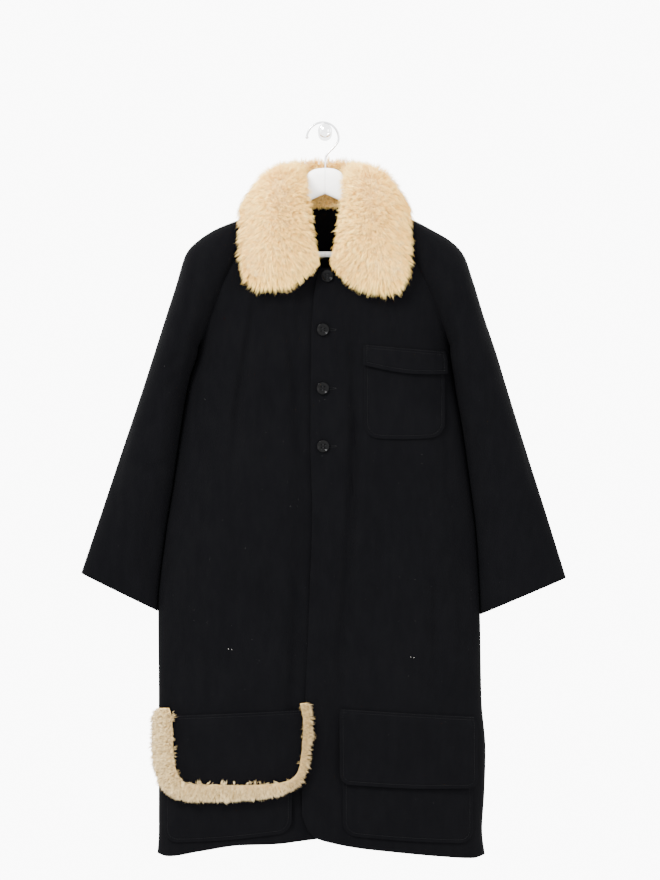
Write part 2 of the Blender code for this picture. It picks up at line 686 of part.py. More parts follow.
def collar_skin():
    """The collar's skin as a grid: stations round the neck, and in each the stand, the fold and the fall."""
    at = np.concatenate([np.linspace(0, 5, FRONT_STATIONS), np.linspace(5, 8, BACK_STATIONS)[1:]])
    fold, bend, tip = (
        np.stack([read(COLLAR, part + axis, at, "s") for axis in ("_x", "_y", "_drop")], 1)
        for part in ("fold", "bend", "tip")
    )
    seam = neck_seam()
    off, inside = seam_frame(seam)
    seam = (seam + off * COLLAR_GAP) * np.array([1, 1, -1])
    stand_share = np.linspace(0, 1, STAND_POINTS + 1)[:-1]
    stand = [seam * (1 - s) + fold * s for s in stand_share]
    # The fall is a curve through the bend at its middle.
    control = 2 * bend - (fold + tip) / 2
    fall_share = np.linspace(0, 1, FALL_POINTS + 1)
    fall = [fold * (1 - s) ** 2 + control * 2 * s * (1 - s) + tip * s * s for s in fall_share]
    half = np.stack(stand + fall, 1)
    left = half.copy()
    left[..., 0] *= -1
    right = half.copy()
    droop = ease((half[..., 2] - DROOP_FROM) / DROOP_RUN) * np.linspace(0, 1, half.shape[1])
    right[..., 2] += LOBE_DROOP * droop
    whole = np.concatenate([left, right[-2::-1]])
    whole[..., 2] *= -1
    foot = np.concatenate([inside * np.array([-1, 1, 1]), inside[-2::-1]])
    return whole, foot


def make_collar():
    """Fur on the skin's outer side, thin at the seam and round at the free edge, and the bare skin beneath."""
    skin, foot = collar_skin()
    n = normals(skin)
    if n[len(n) // 2, -3, 1] < 0:
        n = -n
    pile = np.interp(np.arange(skin.shape[1]), PILE["spot"], PILE["height"])
    ends = ease((np.arange(len(skin)) + 1) / 3) * ease((len(skin) - np.arange(len(skin))) / 3)
    fur = skin + n * (pile[None, :, None] * ends[:, None, None])
    outward = unit(skin[:, -1] - skin[:, -2])
    tip = (skin[:, -1] + outward * TIP_REACH + n[:, -1] * TIP_RISE)[:, None]
    under = skin - n * SKIN
    under[:, 0] = skin[:, 0]
    fur[:, 0] = skin[:, 0] + foot * COLLAR_FOOT
    rings = np.concatenate([fur, tip, under[:, ::-1]], axis=1)
    make_object("fur_collar", *ring_mesh(rings), "fur", smooth_angle=70)


# ---- buttons ----
FORWARD = Vector((0, -1, 0))


def make_buttons():
    for number, (x, drop) in enumerate(zip(BUTTONS["x"], BUTTONS["drop"]), 1):
        place, above = (on_front(np.array([x]), np.array([drop]), np.array([out]))[0] for out in (LAY, LAY + 1))
        turn = FORWARD.rotation_difference(Vector(above - place)).to_euler()
        button = make_object(f"button_{number}", *button_mesh(), "button", smooth_angle=30)
        holes = make_object("button_holes", *hole_mesh(), "button")
        for piece in (button, holes):
            piece.location = place * MM
            piece.rotation_euler = turn
        cut = button.modifiers.new("holes", "BOOLEAN")
        cut.operation = "DIFFERENCE"
        cut.object = holes
        holes.hide_render = True
        holes.display_type = "WIRE"


def button_mesh():
    """A turned disc with a raised rim and a shallow dish."""
    r, t = BUTTON_RADIUS, BUTTON_THICK
    profile = [(0.86 * r, 0), (r, 0.35 * t), (r, 0.7 * t), (0.9 * r, t), (0.76 * r, 0.86 * t), (0.62 * r, 0.6 * t)]
    turn = np.linspace(0, 2 * math.pi, 18, endpoint=False)
    rings = np.array([[(p * math.cos(a), -h, p * math.sin(a)) for a in turn] for p, h in profile])
    return ring_mesh(rings)


def hole_mesh():
    """Four small posts that stand where the button's sewing holes are."""
    spread, radius = 2.6, 1.0
    points, faces = [], []
    for x in (-spread, spread):
        for z in (-spread, spread):
            turn = np.linspace(0, 2 * math.pi, 6, endpoint=False)
            rings = np.array([[(x + radius * math.cos(a), y, z + radius * math.sin(a)) for a in turn] for y in (2, -6)])
            post, sides = ring_mesh(rings)
            faces += [[i + len(points) for i in face] for face in sides]
            points += post.tolist()
    return points, faces


# ---- hanger and peg ----
def shoulder_line(x):
    """Drop of the coat's overarm line, which the hanger's arm carries."""
    ridge = sleeve_grid(RIGHT_SLEEVE if x < 0 else LEFT_SLEEVE, -1)[: RAGLAN_ROWS + 1, 0]
    return np.interp(abs(x), abs(ridge[:, 0]), -ridge[:, 2])


def make_hanger_arms():
    """Two arms in one sweep: narrow rounded sections, high at the neck, that follow the shoulders."""
    lug_x = ARM_END - LUG
    half = [ARM_END, lug_x, lug_x - LUG_FACE, 185, 165, 145, 124, 102, 84, 66, 54, 46, 40, 34, 27, 14]
    xs = np.concatenate([-np.array(half), [0], np.array(half[::-1])])
    rings = []
    for x in xs:
        across = abs(x)
        top, bottom, thick = (float(read(HANGER, name, across, "x")) for name in ("top", "bottom", "thick"))
        if across > HANGER["x"][-1]:
            top = shoulder_line(x) + WOOL + ARM_GAP
            bottom = top + ARM_HEIGHT
        if across >= lug_x:
            bottom = BAR_DROP + BAR_RADIUS
        turn = np.linspace(0, 2 * math.pi, 10, endpoint=False)
        up = np.sign(np.sin(turn)) * abs(np.sin(turn)) ** 0.7
        rings.append([(x, thick * math.cos(a), -(top + bottom) / 2 + (bottom - top) / 2 * u) for a, u in zip(turn, up)])
    make_object("hanger_arms", *ring_mesh(np.array(rings)), "hanger")


def tube(path, radii, sides, flat=(0, 1, 0)):
    """Rings round a path that stays in the hanging plane or runs across it."""
    path = np.array(path, float)
    along = unit(np.gradient(path, axis=0))
    side = np.broadcast_to(np.array(flat, float), path.shape)
    other = np.cross(along, side)
    turn = np.linspace(0, 2 * math.pi, sides, endpoint=False)[None, :, None]
    radii = np.broadcast_to(np.asarray(radii, float), (len(path),))[:, None, None]
    return path[:, None] + radii * (np.cos(turn) * side[:, None] + np.sin(turn) * other[:, None])


def make_hanger_bar():
    half = ARM_END - LUG - LUG_FACE - SEAM
    path = [(-half, 0, -BAR_DROP), (0, 0, -BAR_DROP), (half, 0, -BAR_DROP)]
    make_object("hanger_bar", *ring_mesh(tube(path, BAR_RADIUS, 12)), "hanger")


def make_hook():
    """Round wire: up from the hanger, out to the right, over the peg and round to a small ball at its tip."""
    stem = [(0.5, -STEM_FOOT), (0.5, -68.0), (1.0, -58.0), (5.0, -51.0), (12.0, -44.5), (18.5, -38.0)]
    start, end = math.radians(-14), math.radians(172)
    arc = [
        (HOOK_MIDDLE[0] + HOOK_RADIUS * math.cos(a), -HOOK_MIDDLE[1] + HOOK_RADIUS * math.sin(a))
        for a in np.linspace(start, end, 22)
    ]
    path = [(x, 0.0, z) for x, z in stem + arc]
    last = np.array(path[-1])
    path += [tuple(last + np.array([0.1, 0, -1.2 * k])) for k in (1, 2, 3, 4)]
    radii = [WIRE_RADIUS] * (len(path) - 4) + [2.4, 2.9, 2.4, 1.0]
    make_object("hanger_hook", *ring_mesh(tube(path, radii, 8)), "steel")


def make_peg():
    """A plain round peg from the wall to just past the hook, with a rounded nose."""
    centre = -PEG_RADIUS - PEG_GAP
    nose = np.linspace(0, math.pi / 2, 5)[:-1]
    ys = [PEG_REACH, -PEG_NOSE + 4.0] + [-PEG_NOSE + 4.0 - 4.0 * math.sin(a) for a in nose[1:]]
    radii = [PEG_RADIUS, PEG_RADIUS] + [PEG_RADIUS - 4.0 * (1 - math.cos(a)) for a in nose[1:]]
    path = [(0, y, centre) for y in ys]
    make_object("wall_peg", *ring_mesh(tube(path, radii, 28, flat=(1, 0, 0))), "peg", smooth_angle=50)


clear_scene()
MATERIALS = {name: make_material(name) for name in COLOURS}
HANGING_POINT = bpy.data.objects.new("hanging_point", None)
HANGING_POINT.location = (0, -PEG_REACH * MM, (PEG_RADIUS + PEG_GAP) * MM)
bpy.context.scene.collection.objects.link(HANGING_POINT)

make_cloth()
make_patches()
make_trim()
make_collar()
make_buttons()
make_hanger_arms()
make_hanger_bar()
make_hook()
make_peg()
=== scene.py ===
# %% [markdown]
# # A fur-trimmed wool coat on its hanger
#
# The coat is black felted wool with a cream fur collar and a strip of the same fur round one pocket flap. It
# hangs on a white hanger from a round peg. The plain solids of it are loaded first, and each is then dressed
# with a finer piece: cloth with its creases, fur made of single hairs, turned buttons and sewn thread.
#
# All lengths in the tables are in millimetres from the hanging point, which is the top of the peg in the
# plane where the coat hangs: x to the viewer's right and drop downwards. "Right" and "left" in names are the
# wearer's.

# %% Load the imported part
import math

import bpy
import numpy as np
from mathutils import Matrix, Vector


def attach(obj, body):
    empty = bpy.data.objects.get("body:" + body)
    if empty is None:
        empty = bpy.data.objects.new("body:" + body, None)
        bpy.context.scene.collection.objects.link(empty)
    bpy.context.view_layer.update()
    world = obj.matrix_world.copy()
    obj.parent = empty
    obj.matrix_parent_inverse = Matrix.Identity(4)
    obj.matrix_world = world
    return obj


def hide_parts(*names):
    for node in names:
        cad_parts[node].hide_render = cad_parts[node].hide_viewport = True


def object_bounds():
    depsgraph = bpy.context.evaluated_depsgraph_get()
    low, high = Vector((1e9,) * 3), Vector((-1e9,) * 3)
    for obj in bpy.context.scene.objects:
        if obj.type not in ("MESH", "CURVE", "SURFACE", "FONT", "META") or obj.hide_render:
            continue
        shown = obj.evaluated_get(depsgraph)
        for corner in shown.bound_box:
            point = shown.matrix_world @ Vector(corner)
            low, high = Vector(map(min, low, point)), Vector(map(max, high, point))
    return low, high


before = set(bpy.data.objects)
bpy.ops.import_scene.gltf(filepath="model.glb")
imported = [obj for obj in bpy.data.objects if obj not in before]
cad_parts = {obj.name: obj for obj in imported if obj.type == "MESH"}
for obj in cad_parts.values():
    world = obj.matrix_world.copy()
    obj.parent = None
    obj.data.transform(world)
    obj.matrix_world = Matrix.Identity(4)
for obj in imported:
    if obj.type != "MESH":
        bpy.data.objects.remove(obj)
CAD_BOX = [list(corner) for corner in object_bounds()]
MM = 0.001
HANGING_POINT = np.array([0.0, -0.105, 0.0126])
sides = [round((b - a) / MM) for a, b in zip(*CAD_BOX)]
print(len(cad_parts), "solids,", sides, "mm wide, deep and high")

# %% [markdown]
# ## The coat's own sizes
#
# A pattern cutter works from a few measured rows: how wide the body is at each height, where the sleeve's
# two edges run, how the neckline curves. These short tables are those rows, and every surface below is
# worked out from them.

# %% Tables of sizes
WOOL = 2.4
PATCH = 2.0
SEAM = 0.3
LAY = 0.7
TURNING_GAP = 1.6
OVERLAP = 43.0
UNDER_GAP = 3.2
TUCK_START = 44.0
TUCK_RUN = 28.0
SLEEVE_GAP = -0.2
ARMPIT = 7.0
CUFF = 15.0
ARMPIT_DROP = 392.0
HEM_END = {"left": 1279.0, "right": 1281.0}


def table(names, *rows):
    """A small table: one array for each named column."""
    return dict(zip(names.split(), np.array(rows, float).T))


BODY = table(
    "drop left right depth",
    (130, -242, 240, 18), (190, -242, 240, 31), (260, -239, 237, 42), (330, -231, 229, 49),
    (392, -222, 219, 53), (450, -238, 226, 55), (530, -252, 240, 56), (630, -266, 254, 58),
    (720, -280, 265, 59), (855, -293, 272, 60), (1010, -292, 275, 61), (1100, -292, 282, 61),
    (1170, -292, 280, 62), (1240, -292, 276, 62), (1290, -295, 282, 63),
)
RIGHT_SLEEVE = table(
    "row over_x over_drop under_x under_drop depth",
    (0, -79, 137, -86, 150, 22), (1, -112, 152, -122, 190, 31), (2, -148, 167, -150, 226, 37),
    (3, -192, 185, -174, 271, 43), (4, -219, 202, -187, 303, 47), (5, -243, 226, -203, 345, 51),
    (6, -262, 285, -214, 374, 53), (7, -283, 350, -222, 392, 54), (8, -303, 413, -247, 440, 52),
    (9, -324, 478, -259, 492, 49), (11, -359, 582, -269, 590, 43), (13, -393, 684, -277, 690, 36),
    (15, -428, 788, -295, 854, 27),
)
LEFT_SLEEVE = table(
    "row over_x over_drop under_x under_drop depth",
    (0, 79, 137, 86, 150, 22), (1, 114, 151, 121, 190, 31), (2, 154, 168, 151, 228, 37),
    (3, 186, 185, 172, 270, 43), (4, 220, 205, 187, 301, 47), (5, 243, 229, 202, 340, 51),
    (6, 261, 279, 213, 372, 53), (7, 279, 338, 219, 392, 54), (8, 300, 400, 236, 440, 52),
    (9, 320, 466, 243, 496, 49), (11, 353, 573, 257, 596, 43), (13, 387, 680, 268, 700, 36),
    (15, 423, 796, 274, 860, 27),
)
FRONT_EDGE = table(
    "drop x",
    (254, -10), (303, -19), (387, -24), (555, -25), (681, -22), (812, -26), (1006, -34), (1150, -40),
    (1205, -40), (1236, -30),
)
LEFT_HEM = table(
    "x drop",
    (-30, 1236), (-17, 1249), (12, 1258), (60, 1267), (112, 1273), (202, 1282), (260, 1286), (281, 1281),
)
RIGHT_HEM = table(
    "x drop", (-294, 1279), (-277, 1283), (-218, 1273), (-148, 1262), (-90, 1260), (-29, 1253), (13, 1247)
)
BACK_HEM = table(
    "x drop", (-294, 1279), (-270, 1280), (-150, 1258), (0, 1245), (150, 1260), (258, 1282), (281, 1281)
)
NECK_DROP = 254.0
NECK_SIDE = (86.0, 150.0)
BACK_NECK_DROP = 146.0
BACK_NECK_DIP = 4.0
print("the body is", int(BODY["right"][9] - BODY["left"][9]), "mm wide at its widest")

# %% [markdown]
# ## Smooth curves between the rows
#
# Between two rows of a table the cloth runs on smoothly and never swings past either of them. A monotone
# cubic does that: it is an ordinary cubic whose slopes are held back wherever the values turn round.


# %% Curves
def smooth(keys, values, at):
    """A monotone cubic through the points: each slope is the harmonic mean of the slopes on its two sides."""
    keys, values, at = np.asarray(keys), np.asarray(values), np.asarray(at, float)
    step = np.diff(keys)
    slope = np.diff(values) / step
    same_way = slope[:-1] * slope[1:] > 0
    inner = np.zeros(len(keys) - 2)
    inner[same_way] = 2 / (1 / slope[:-1][same_way] + 1 / slope[1:][same_way])
    tangent = np.concatenate([slope[:1], inner, slope[-1:]])
    at = np.clip(at, keys[0], keys[-1])
    i = np.clip(np.searchsorted(keys, at, side="right") - 1, 0, len(keys) - 2)
    t = (at - keys[i]) / step[i]
    rise = t * t * (3 - 2 * t)
    bends = t * (1 - t) ** 2 * tangent[i] - t * t * (1 - t) * tangent[i + 1]
    return values[i] * (1 - rise) + values[i + 1] * rise + step[i] * bends


def read(tab, name, at, key="drop"):
    """The value of a table's column at a key."""
    return smooth(tab[key], tab[name], at)


def ease(x):
    """3x^2 - 2x^3 between 0 and 1: a step with soft ends."""
    x = np.clip(x, 0, 1)
    return x * x * (3 - 2 * x)


def crowded(steps, part, both_ends=True):
    """Steps from 0 to 1. That part of them follows a cosine, and crowds at both ends or only at the last."""
    even = np.linspace(0, 1, steps + 1)
    bent = (1 - np.cos(even * math.pi)) / 2 if both_ends else np.sin(even * math.pi / 2)
    return even * (1 - part) + bent * part


def once_round(steps):
    """The angles of that many even steps round a circle."""
    return np.linspace(0, 2 * math.pi, steps, endpoint=False)


def unit(v):
    """Vectors at the length of one."""
    return v / np.maximum(np.linalg.norm(v, axis=-1, keepdims=True), 1e-9)


def resample(line, shares):
    """Points of a line at the given shares of its length."""
    length = np.concatenate([[0], np.cumsum(np.linalg.norm(np.diff(line, axis=0), axis=1))])
    at = shares * length[-1]
    return np.stack([np.interp(at, length, line[:, k]) for k in range(line.shape[1])], 1)


# %% [markdown]
# ## Creases placed one by one
#
# Heavy wool hangs in a few long soft folds, and shows short drag lines where it is pulled: from the neck
# down the chest, at the armpits, under the flaps. Each row of a table is one crease, from one point to
# another. Its depth fades to nothing at both ends and falls off to the sides like a bell. A negative depth
# is a ridge.

# %% Tables of creases
CREASES = "x drop to_x to_drop bow width depth"
FRONT_FOLDS = table(
    "top bottom top_x bottom_x bow width depth",
    (300, 640, -116, -166, -8, 13, 4.0), (308, 590, -72, -42, 4, 12, 2.0), (800, 1040, -50, -58, 3, 18, 4.0),
    (306, 1110, 50, 10, 14, 13, 4.5), (770, 1000, 186, 182, 10, 16, 2.5),
)
BACK_FOLDS = table(
    "top bottom top_x bottom_x bow width depth",
    (260, 760, -120, -150, -6, 15, 4.0), (300, 1080, 64, 30, 10, 14, 4.0), (700, 1120, -40, -66, 6, 18, 3.5),
    (420, 900, 160, 176, -6, 15, 3.0),
)
FRONT_CREASES = table(
    CREASES,
    (-98, 300, -128, 620, -6, 9, -1.6), (-136, 330, -176, 640, -6, 8, -1.2), (34, 320, 30, 760, 6, 8, -1.4),
    (70, 330, 52, 800, 8, 9, -1.5), (46, 420, 50, 760, 3, 5, 1.6), (-88, 700, -110, 1010, -6, 14, 1.8),
    (-150, 640, -176, 1000, 8, 16, 1.6), (-216, 420, -240, 700, 6, 12, 1.6),
    (-206, 400, -120, 470, -7, 8, 1.5), (205, 398, 150, 470, 6, 7, 1.3), (212, 430, 226, 700, -4, 10, 1.5),
    (120, 600, 96, 960, -8, 14, 1.6), (160, 760, 214, 870, 5, 8, 1.6), (168, 920, 186, 1005, 3, 7, 1.3),
    (60, 880, 20, 1190, -5, 11, 1.8), (143, 493, 155, 537, 1, 5, 1.0), (230, 640, 244, 1010, 5, 12, 1.5),
    (-250, 760, -262, 1010, -4, 10, 1.3), (-30, 640, -20, 900, 4, 9, 1.2), (-60, 320, -30, 420, 3, 6, 1.0),
    (100, 310, 130, 390, 4, 8, 1.2), (-235, 1215, -110, 1228, -9, 9, 1.7), (70, 1215, 190, 1224, -6, 9, 1.2),
    (-12, 620, 4, 1000, 3, 8, 1.1), (-114, 270, -166, 680, -8, 6, 2.2), (-72, 290, -42, 620, 4, 6, 1.8),
    (-50, 760, -58, 1060, 3, 7, 2.2), (52, 280, 10, 1130, 14, 6, 2.4), (186, 740, 182, 1020, 10, 7, 1.8),
    (-200, 440, -214, 900, -5, 8, 1.6),
)
BACK_CREASES = table(
    CREASES,
    (-100, 230, -150, 560, -6, 10, 1.8), (90, 220, 130, 520, 5, 9, 1.6), (-204, 398, -120, 480, -8, 8, 1.6),
    (200, 396, 120, 486, 7, 8, 1.5), (20, 380, -10, 900, 9, 14, 1.7), (-200, 600, -222, 1080, 7, 14, 1.9),
    (206, 620, 232, 1100, -6, 14, 1.8), (110, 800, 88, 1180, 6, 12, 1.6),
    (-120, 860, -104, 1200, -5, 11, 1.5), (-60, 520, -40, 760, 4, 8, 1.1), (60, 1010, 74, 1210, 3, 9, 1.2),
    (0, 170, 6, 420, 3, 10, -1.2),
)
PATCH_CREASES = table(
    CREASES,
    (137, 490, 154, 540, 2, 3.5, 1.3), (112, 470, 126, 512, -2, 5, 0.7), (182, 505, 200, 528, 2, 4, 0.8),
    (150, 396, 158, 424, 2, 3.5, 0.7), (178, 402, 186, 430, -2, 4, 0.7), (-190, 1060, -176, 1150, 6, 9, 0.8),
    (-110, 1050, -98, 1140, -5, 9, 0.8), (92, 1060, 84, 1140, 5, 9, 0.8), (190, 1066, 202, 1150, -5, 8, 0.8),
    (60, 1180, 120, 1232, 8, 9, 0.9), (-240, 1190, -180, 1236, 8, 9, 0.9),
)
SLEEVE_CREASES = table(
    CREASES,
    (210, 219, 240, 353, 7, 8, 2.4), (232, 300, 262, 470, 5, 10, 1.6), (230, 400, 292, 440, 5, 8, 1.9),
    (240, 430, 300, 500, 6, 7, 1.6), (252, 500, 330, 545, 6, 9, 1.4), (262, 590, 340, 640, 7, 9, 1.5),
    (330, 470, 372, 700, 6, 9, 1.6), (290, 620, 310, 830, 5, 10, 1.5), (350, 640, 384, 780, 4, 8, 1.3),
    (120, 165, 170, 215, 4, 9, 1.2), (278, 460, 300, 640, -4, 6, -1.0),
)


def folds(tab, x, drop):
    """Long folds: depth times the root of sin(pi * along), times a bell across the line."""
    pressed = np.zeros_like(x)
    for top, bottom, top_x, bottom_x, bow, width, deep in zip(*tab.values()):
        along = np.clip((drop - top) / (bottom - top), 0, 1)
        swing = np.sin(math.pi * along)
        line = top_x + (bottom_x - top_x) * along + bow * swing
        pressed += deep * np.sqrt(np.clip(swing, 0, 1)) * np.exp(-(((x - line) / width) ** 2))
    return pressed


def creases(tab, x, drop):
    """Creases between any two points: the same, with along and across measured on the crease's own line."""
    pressed = np.zeros_like(x)
    for x0, drop0, x1, drop1, bow, width, deep in zip(*tab.values()):
        way = np.array([x1 - x0, drop1 - drop0])
        length = np.hypot(*way)
        way = way / length
        along = ((x - x0) * way[0] + (drop - drop0) * way[1]) / length
        across = (x - x0) * way[1] - (drop - drop0) * way[0]
        swing = np.sin(math.pi * np.clip(along, 0, 1))
        pressed += deep * swing * np.exp(-(((across - bow * swing) / width) ** 2))
    return pressed


WAVES = 9
WAVE_LENGTHS = (45, 130)


def ripple(x, drop, size, seed):
    """The faint unevenness of hand-pressed cloth: a sum of waves in all directions, about +-size high."""
    rng = np.random.default_rng(seed)
    total = np.zeros_like(x)
    for _ in range(WAVES):
        turn, wave, phase = rng.uniform(0, math.pi), rng.uniform(*WAVE_LENGTHS), rng.uniform(0, 6.3)
        total += np.sin((x * math.cos(turn) + drop * math.sin(turn)) * 2 * math.pi / wave + phase)
    return total * size / math.sqrt(WAVES)


hand_placed = (FRONT_CREASES, BACK_CREASES, PATCH_CREASES, SLEEVE_CREASES)
print(sum(len(tab["x"]) for tab in hand_placed), "fine creases placed by hand")

# %% [markdown]
# ## The body's form
#
# Seen from above, the hanging coat is a flat oval. Its depth at a place across it is the full depth times
# the square root of 1 - |across|^3, so the middle is nearly flat and the sides turn round softly. A panel is
# that oval over a plan: a grid of points in x and height, filled between the panel's four edges.


# %% Body surfaces
RAGLAN_ROWS = 30
BODY_ROWS = 118
SLEEVE_ROWS = 82
SLEEVE_COLUMNS = 30
FRONT_COLUMNS = 66
BACK_COLUMNS = 96
CROWDING = 0.55
EDGE_POINTS = 200
FREE_EDGE_AT_ARMPIT = 415.0


def body_depth(x, drop, fold_table=None):
    """The depth of the oval at x, less the long folds."""
    x, drop = np.broadcast_arrays(np.asarray(x, float), np.asarray(drop, float))
    left, right = read(BODY, "left", drop), read(BODY, "right", drop)
    across = np.clip(abs(x - (left + right) / 2) / ((right - left) / 2), 0, 1)
    depth = read(BODY, "depth", drop) * np.sqrt(1 - across**3)
    if fold_table is not None:
        depth = np.maximum(depth - folds(fold_table, x, drop) * np.sqrt(1 - across**6), 0)
    return depth


def coons(top, bottom, left, right, across, down):
    """A Coons patch: the two ruled surfaces between opposite edges, less the one through the corners."""
    u, v = across[None, :, None], down[:, None, None]
    between_rows = top[None] * (1 - v) + bottom[None] * v
    between_sides = left[:, None] * (1 - u) + right[:, None] * u
    corners = (top[0] * (1 - u) + top[-1] * u) * (1 - v) + (bottom[0] * (1 - u) + bottom[-1] * u) * v
    return between_rows + between_sides - corners


def normals(grid):
    """The cross product of the steps down and along the grid, at unit length."""
    return unit(np.cross(np.gradient(grid, axis=0), np.gradient(grid, axis=1)))


def facing(n, side):
    """Turns normals to the front (side -1) or to the back (side 1)."""
    return n * np.sign(n[n.shape[0] // 2, n.shape[1] // 2, 1] * side)


print("the body is", round(float(2 * body_depth(0, 700))), "mm deep, 700 mm down")

# %% [markdown]
# ## Sleeves
#
# A raglan sleeve is cut in two halves. Each is a row of sections from the neck to the cuff. Above the armpit
# the section ends where it meets the body, and below it the sleeve runs on beside the body's flank.

# %% Sleeve halves
RAGLAN = np.linspace(0, ARMPIT, RAGLAN_ROWS + 1)
SLEEVE = np.concatenate([RAGLAN, np.linspace(ARMPIT, CUFF, SLEEVE_ROWS - RAGLAN_ROWS + 1)[1:]])


ROUNDING = 2.4


def against_body(x, drop):
    """The underarm line: below the armpit the sleeve lies against the body's side."""
    side_name, outward = ("left", -1) if x[0] < 0 else ("right", 1)
    beside = read(BODY, side_name, drop) + outward * SLEEVE_GAP
    return np.where(SLEEVE > ARMPIT, beside, x)


def sleeve_grid(tab, side):
    """Half a sleeve. Each row is a section whose depth follows (1 - |t|^ROUNDING)^0.5, from t = -1 on the
    overarm line to t = 1 on the underarm line, or to where it meets the body at the raglan seam."""
    names = ("over_x", "over_drop", "under_x", "under_drop", "depth")
    over_x, over_drop, under_x, under_drop, depth = (read(tab, name, SLEEVE, "row") for name in names)
    under_x = against_body(under_x, under_drop)
    seam_depth = np.where(SLEEVE < ARMPIT, body_depth(under_x, under_drop), 0)
    end = (1 - np.minimum(seam_depth / depth, 0.999) ** 2) ** (1 / ROUNDING)
    angle = np.linspace(0, 1, SLEEVE_COLUMNS + 1)[None] * np.arccos(-end)[:, None]
    t = -np.cos(angle)
    share = ((t + 1) / (1 + end[:, None]))[..., None]
    over = np.stack([over_x, -over_drop], 1)[:, None]
    under = np.stack([under_x, -under_drop], 1)[:, None]
    plan = over * (1 - share) + under * share
    out = depth[:, None] * np.sqrt(np.clip(1 - abs(t) ** ROUNDING, 0, 1))
    out[:, 0] = 0
    out[:, -1] = seam_depth
    return np.stack([plan[..., 0], side * out, plan[..., 1]], 2)


# %% [markdown]
# ## Panels
#
# A panel's plan is filled between its four edges: the neckline, the free edge or the other side, the hem,
# and the raglan seam that runs on as the side seam. Its depth comes from the oval and the long folds.


# %% Panels
def side_rows(tab, side_name):
    """A panel's outer edge: down the raglan seam to the armpit, and on down the side seam."""
    x, drop = (read(tab, name, RAGLAN, "row") for name in ("under_x", "under_drop"))
    lower = np.linspace(ARMPIT_DROP, HEM_END[side_name], BODY_ROWS - RAGLAN_ROWS + 1)[1:]
    return np.concatenate([x, read(BODY, side_name, lower)]), np.concatenate([drop, lower])


def hem_line(tab):
    """A hem as points of x and height, evenly spaced."""
    x = np.linspace(tab["x"][0], tab["x"][-1], EDGE_POINTS)
    return resample(np.stack([x, -read(tab, "drop", x, "x")], 1), np.linspace(0, 1, EDGE_POINTS))


def front_grid(sleeve, side_name, edge_shift, hem):
    """A front panel: columns from its free edge to its side, rows from the neckline to the hem. A front whose
    edge is shifted runs on beneath the other one, so it is tucked in there."""
    side_x, side_drop = side_rows(sleeve, side_name)
    drops = [side_drop[0], ARMPIT_DROP, side_drop[-1]]
    edge_drop = np.interp(side_drop, drops, [NECK_DROP, FREE_EDGE_AT_ARMPIT, -hem[0, 1]])
    edge_x = read(FRONT_EDGE, "x", edge_drop) + edge_shift
    edge_x[-1] = hem[0, 0]
    across = crowded(FRONT_COLUMNS, CROWDING, both_ends=False)
    turn = np.linspace(math.asin(np.clip(edge_x[0] / side_x[0], -1, 1)), math.pi / 2, EDGE_POINTS)
    neck_drop = NECK_SIDE[1] + (NECK_DROP - NECK_SIDE[1]) * np.cos(turn)
    neck = resample(np.stack([side_x[0] * np.sin(turn), -neck_drop], 1), across)
    edge = np.stack([edge_x, -edge_drop], 1)
    edge[0] = neck[0]
    down = (edge_drop - edge_drop[0]) / (edge_drop[-1] - edge_drop[0])
    plan = coons(neck, resample(hem, across), edge, np.stack([side_x, -side_drop], 1), across, down)
    x, drop = plan[..., 0], -plan[..., 1]
    depth = body_depth(x, drop, FRONT_FOLDS)
    depth[:, -1] = body_depth(x[:, -1], drop[:, -1])
    depth[RAGLAN_ROWS:, -1] = 0
    if edge_shift:
        tuck = ease((x - read(FRONT_EDGE, "x", drop) + TUCK_START) / TUCK_RUN)
        depth = depth - (WOOL + UNDER_GAP) * tuck
    return np.stack([x, -depth, -drop], 2)


def back_grid():
    """The back: columns from the right side seam across to the left one."""
    left_x, left_drop = side_rows(RIGHT_SLEEVE, "left")
    right_x, right_drop = side_rows(LEFT_SLEEVE, "right")
    across = crowded(BACK_COLUMNS, CROWDING)
    x = left_x[0] + (right_x[0] - left_x[0]) * across
    neck = np.stack([x, -(BACK_NECK_DROP + BACK_NECK_DIP * (2 * across - 1) ** 2)], 1)
    foot = resample(hem_line(BACK_HEM), across)
    left, right = np.stack([left_x, -left_drop], 1), np.stack([right_x, -right_drop], 1)
    down = (left_drop - left_drop[0]) / (left_drop[-1] - left_drop[0])
    plan = coons(neck, foot, left, right, across, down)
    x, drop = plan[..., 0], -plan[..., 1]
    depth = body_depth(x, drop, BACK_FOLDS)
    for column in (0, -1):
        depth[:, column] = body_depth(x[:, column], drop[:, column])
        depth[RAGLAN_ROWS:, column] = 0
    return np.stack([x, depth, -drop], 2)


# %% [markdown]
# ## Seams
#
# Two pieces that are sewn together share one line, and at that line both walls are mitred along the same
# direction, as a carpenter mitres two boards. The raglan seam gets the mean of the two pieces' normals.
# Below the armpit the seams lie flat in the hanging plane. Cloth also dips a little towards a pressed seam,
# which is what makes it show.


# %% Seams and walls
STEEPEST_MITRE = 0.4
SEAM_DIP = 0.9
SEAM_WIDTH = 4.5


def flat_to_plane(n):
    """Normals with no part across the hanging plane."""
    n = n.copy()
    n[..., 1] = 0
    return unit(n)


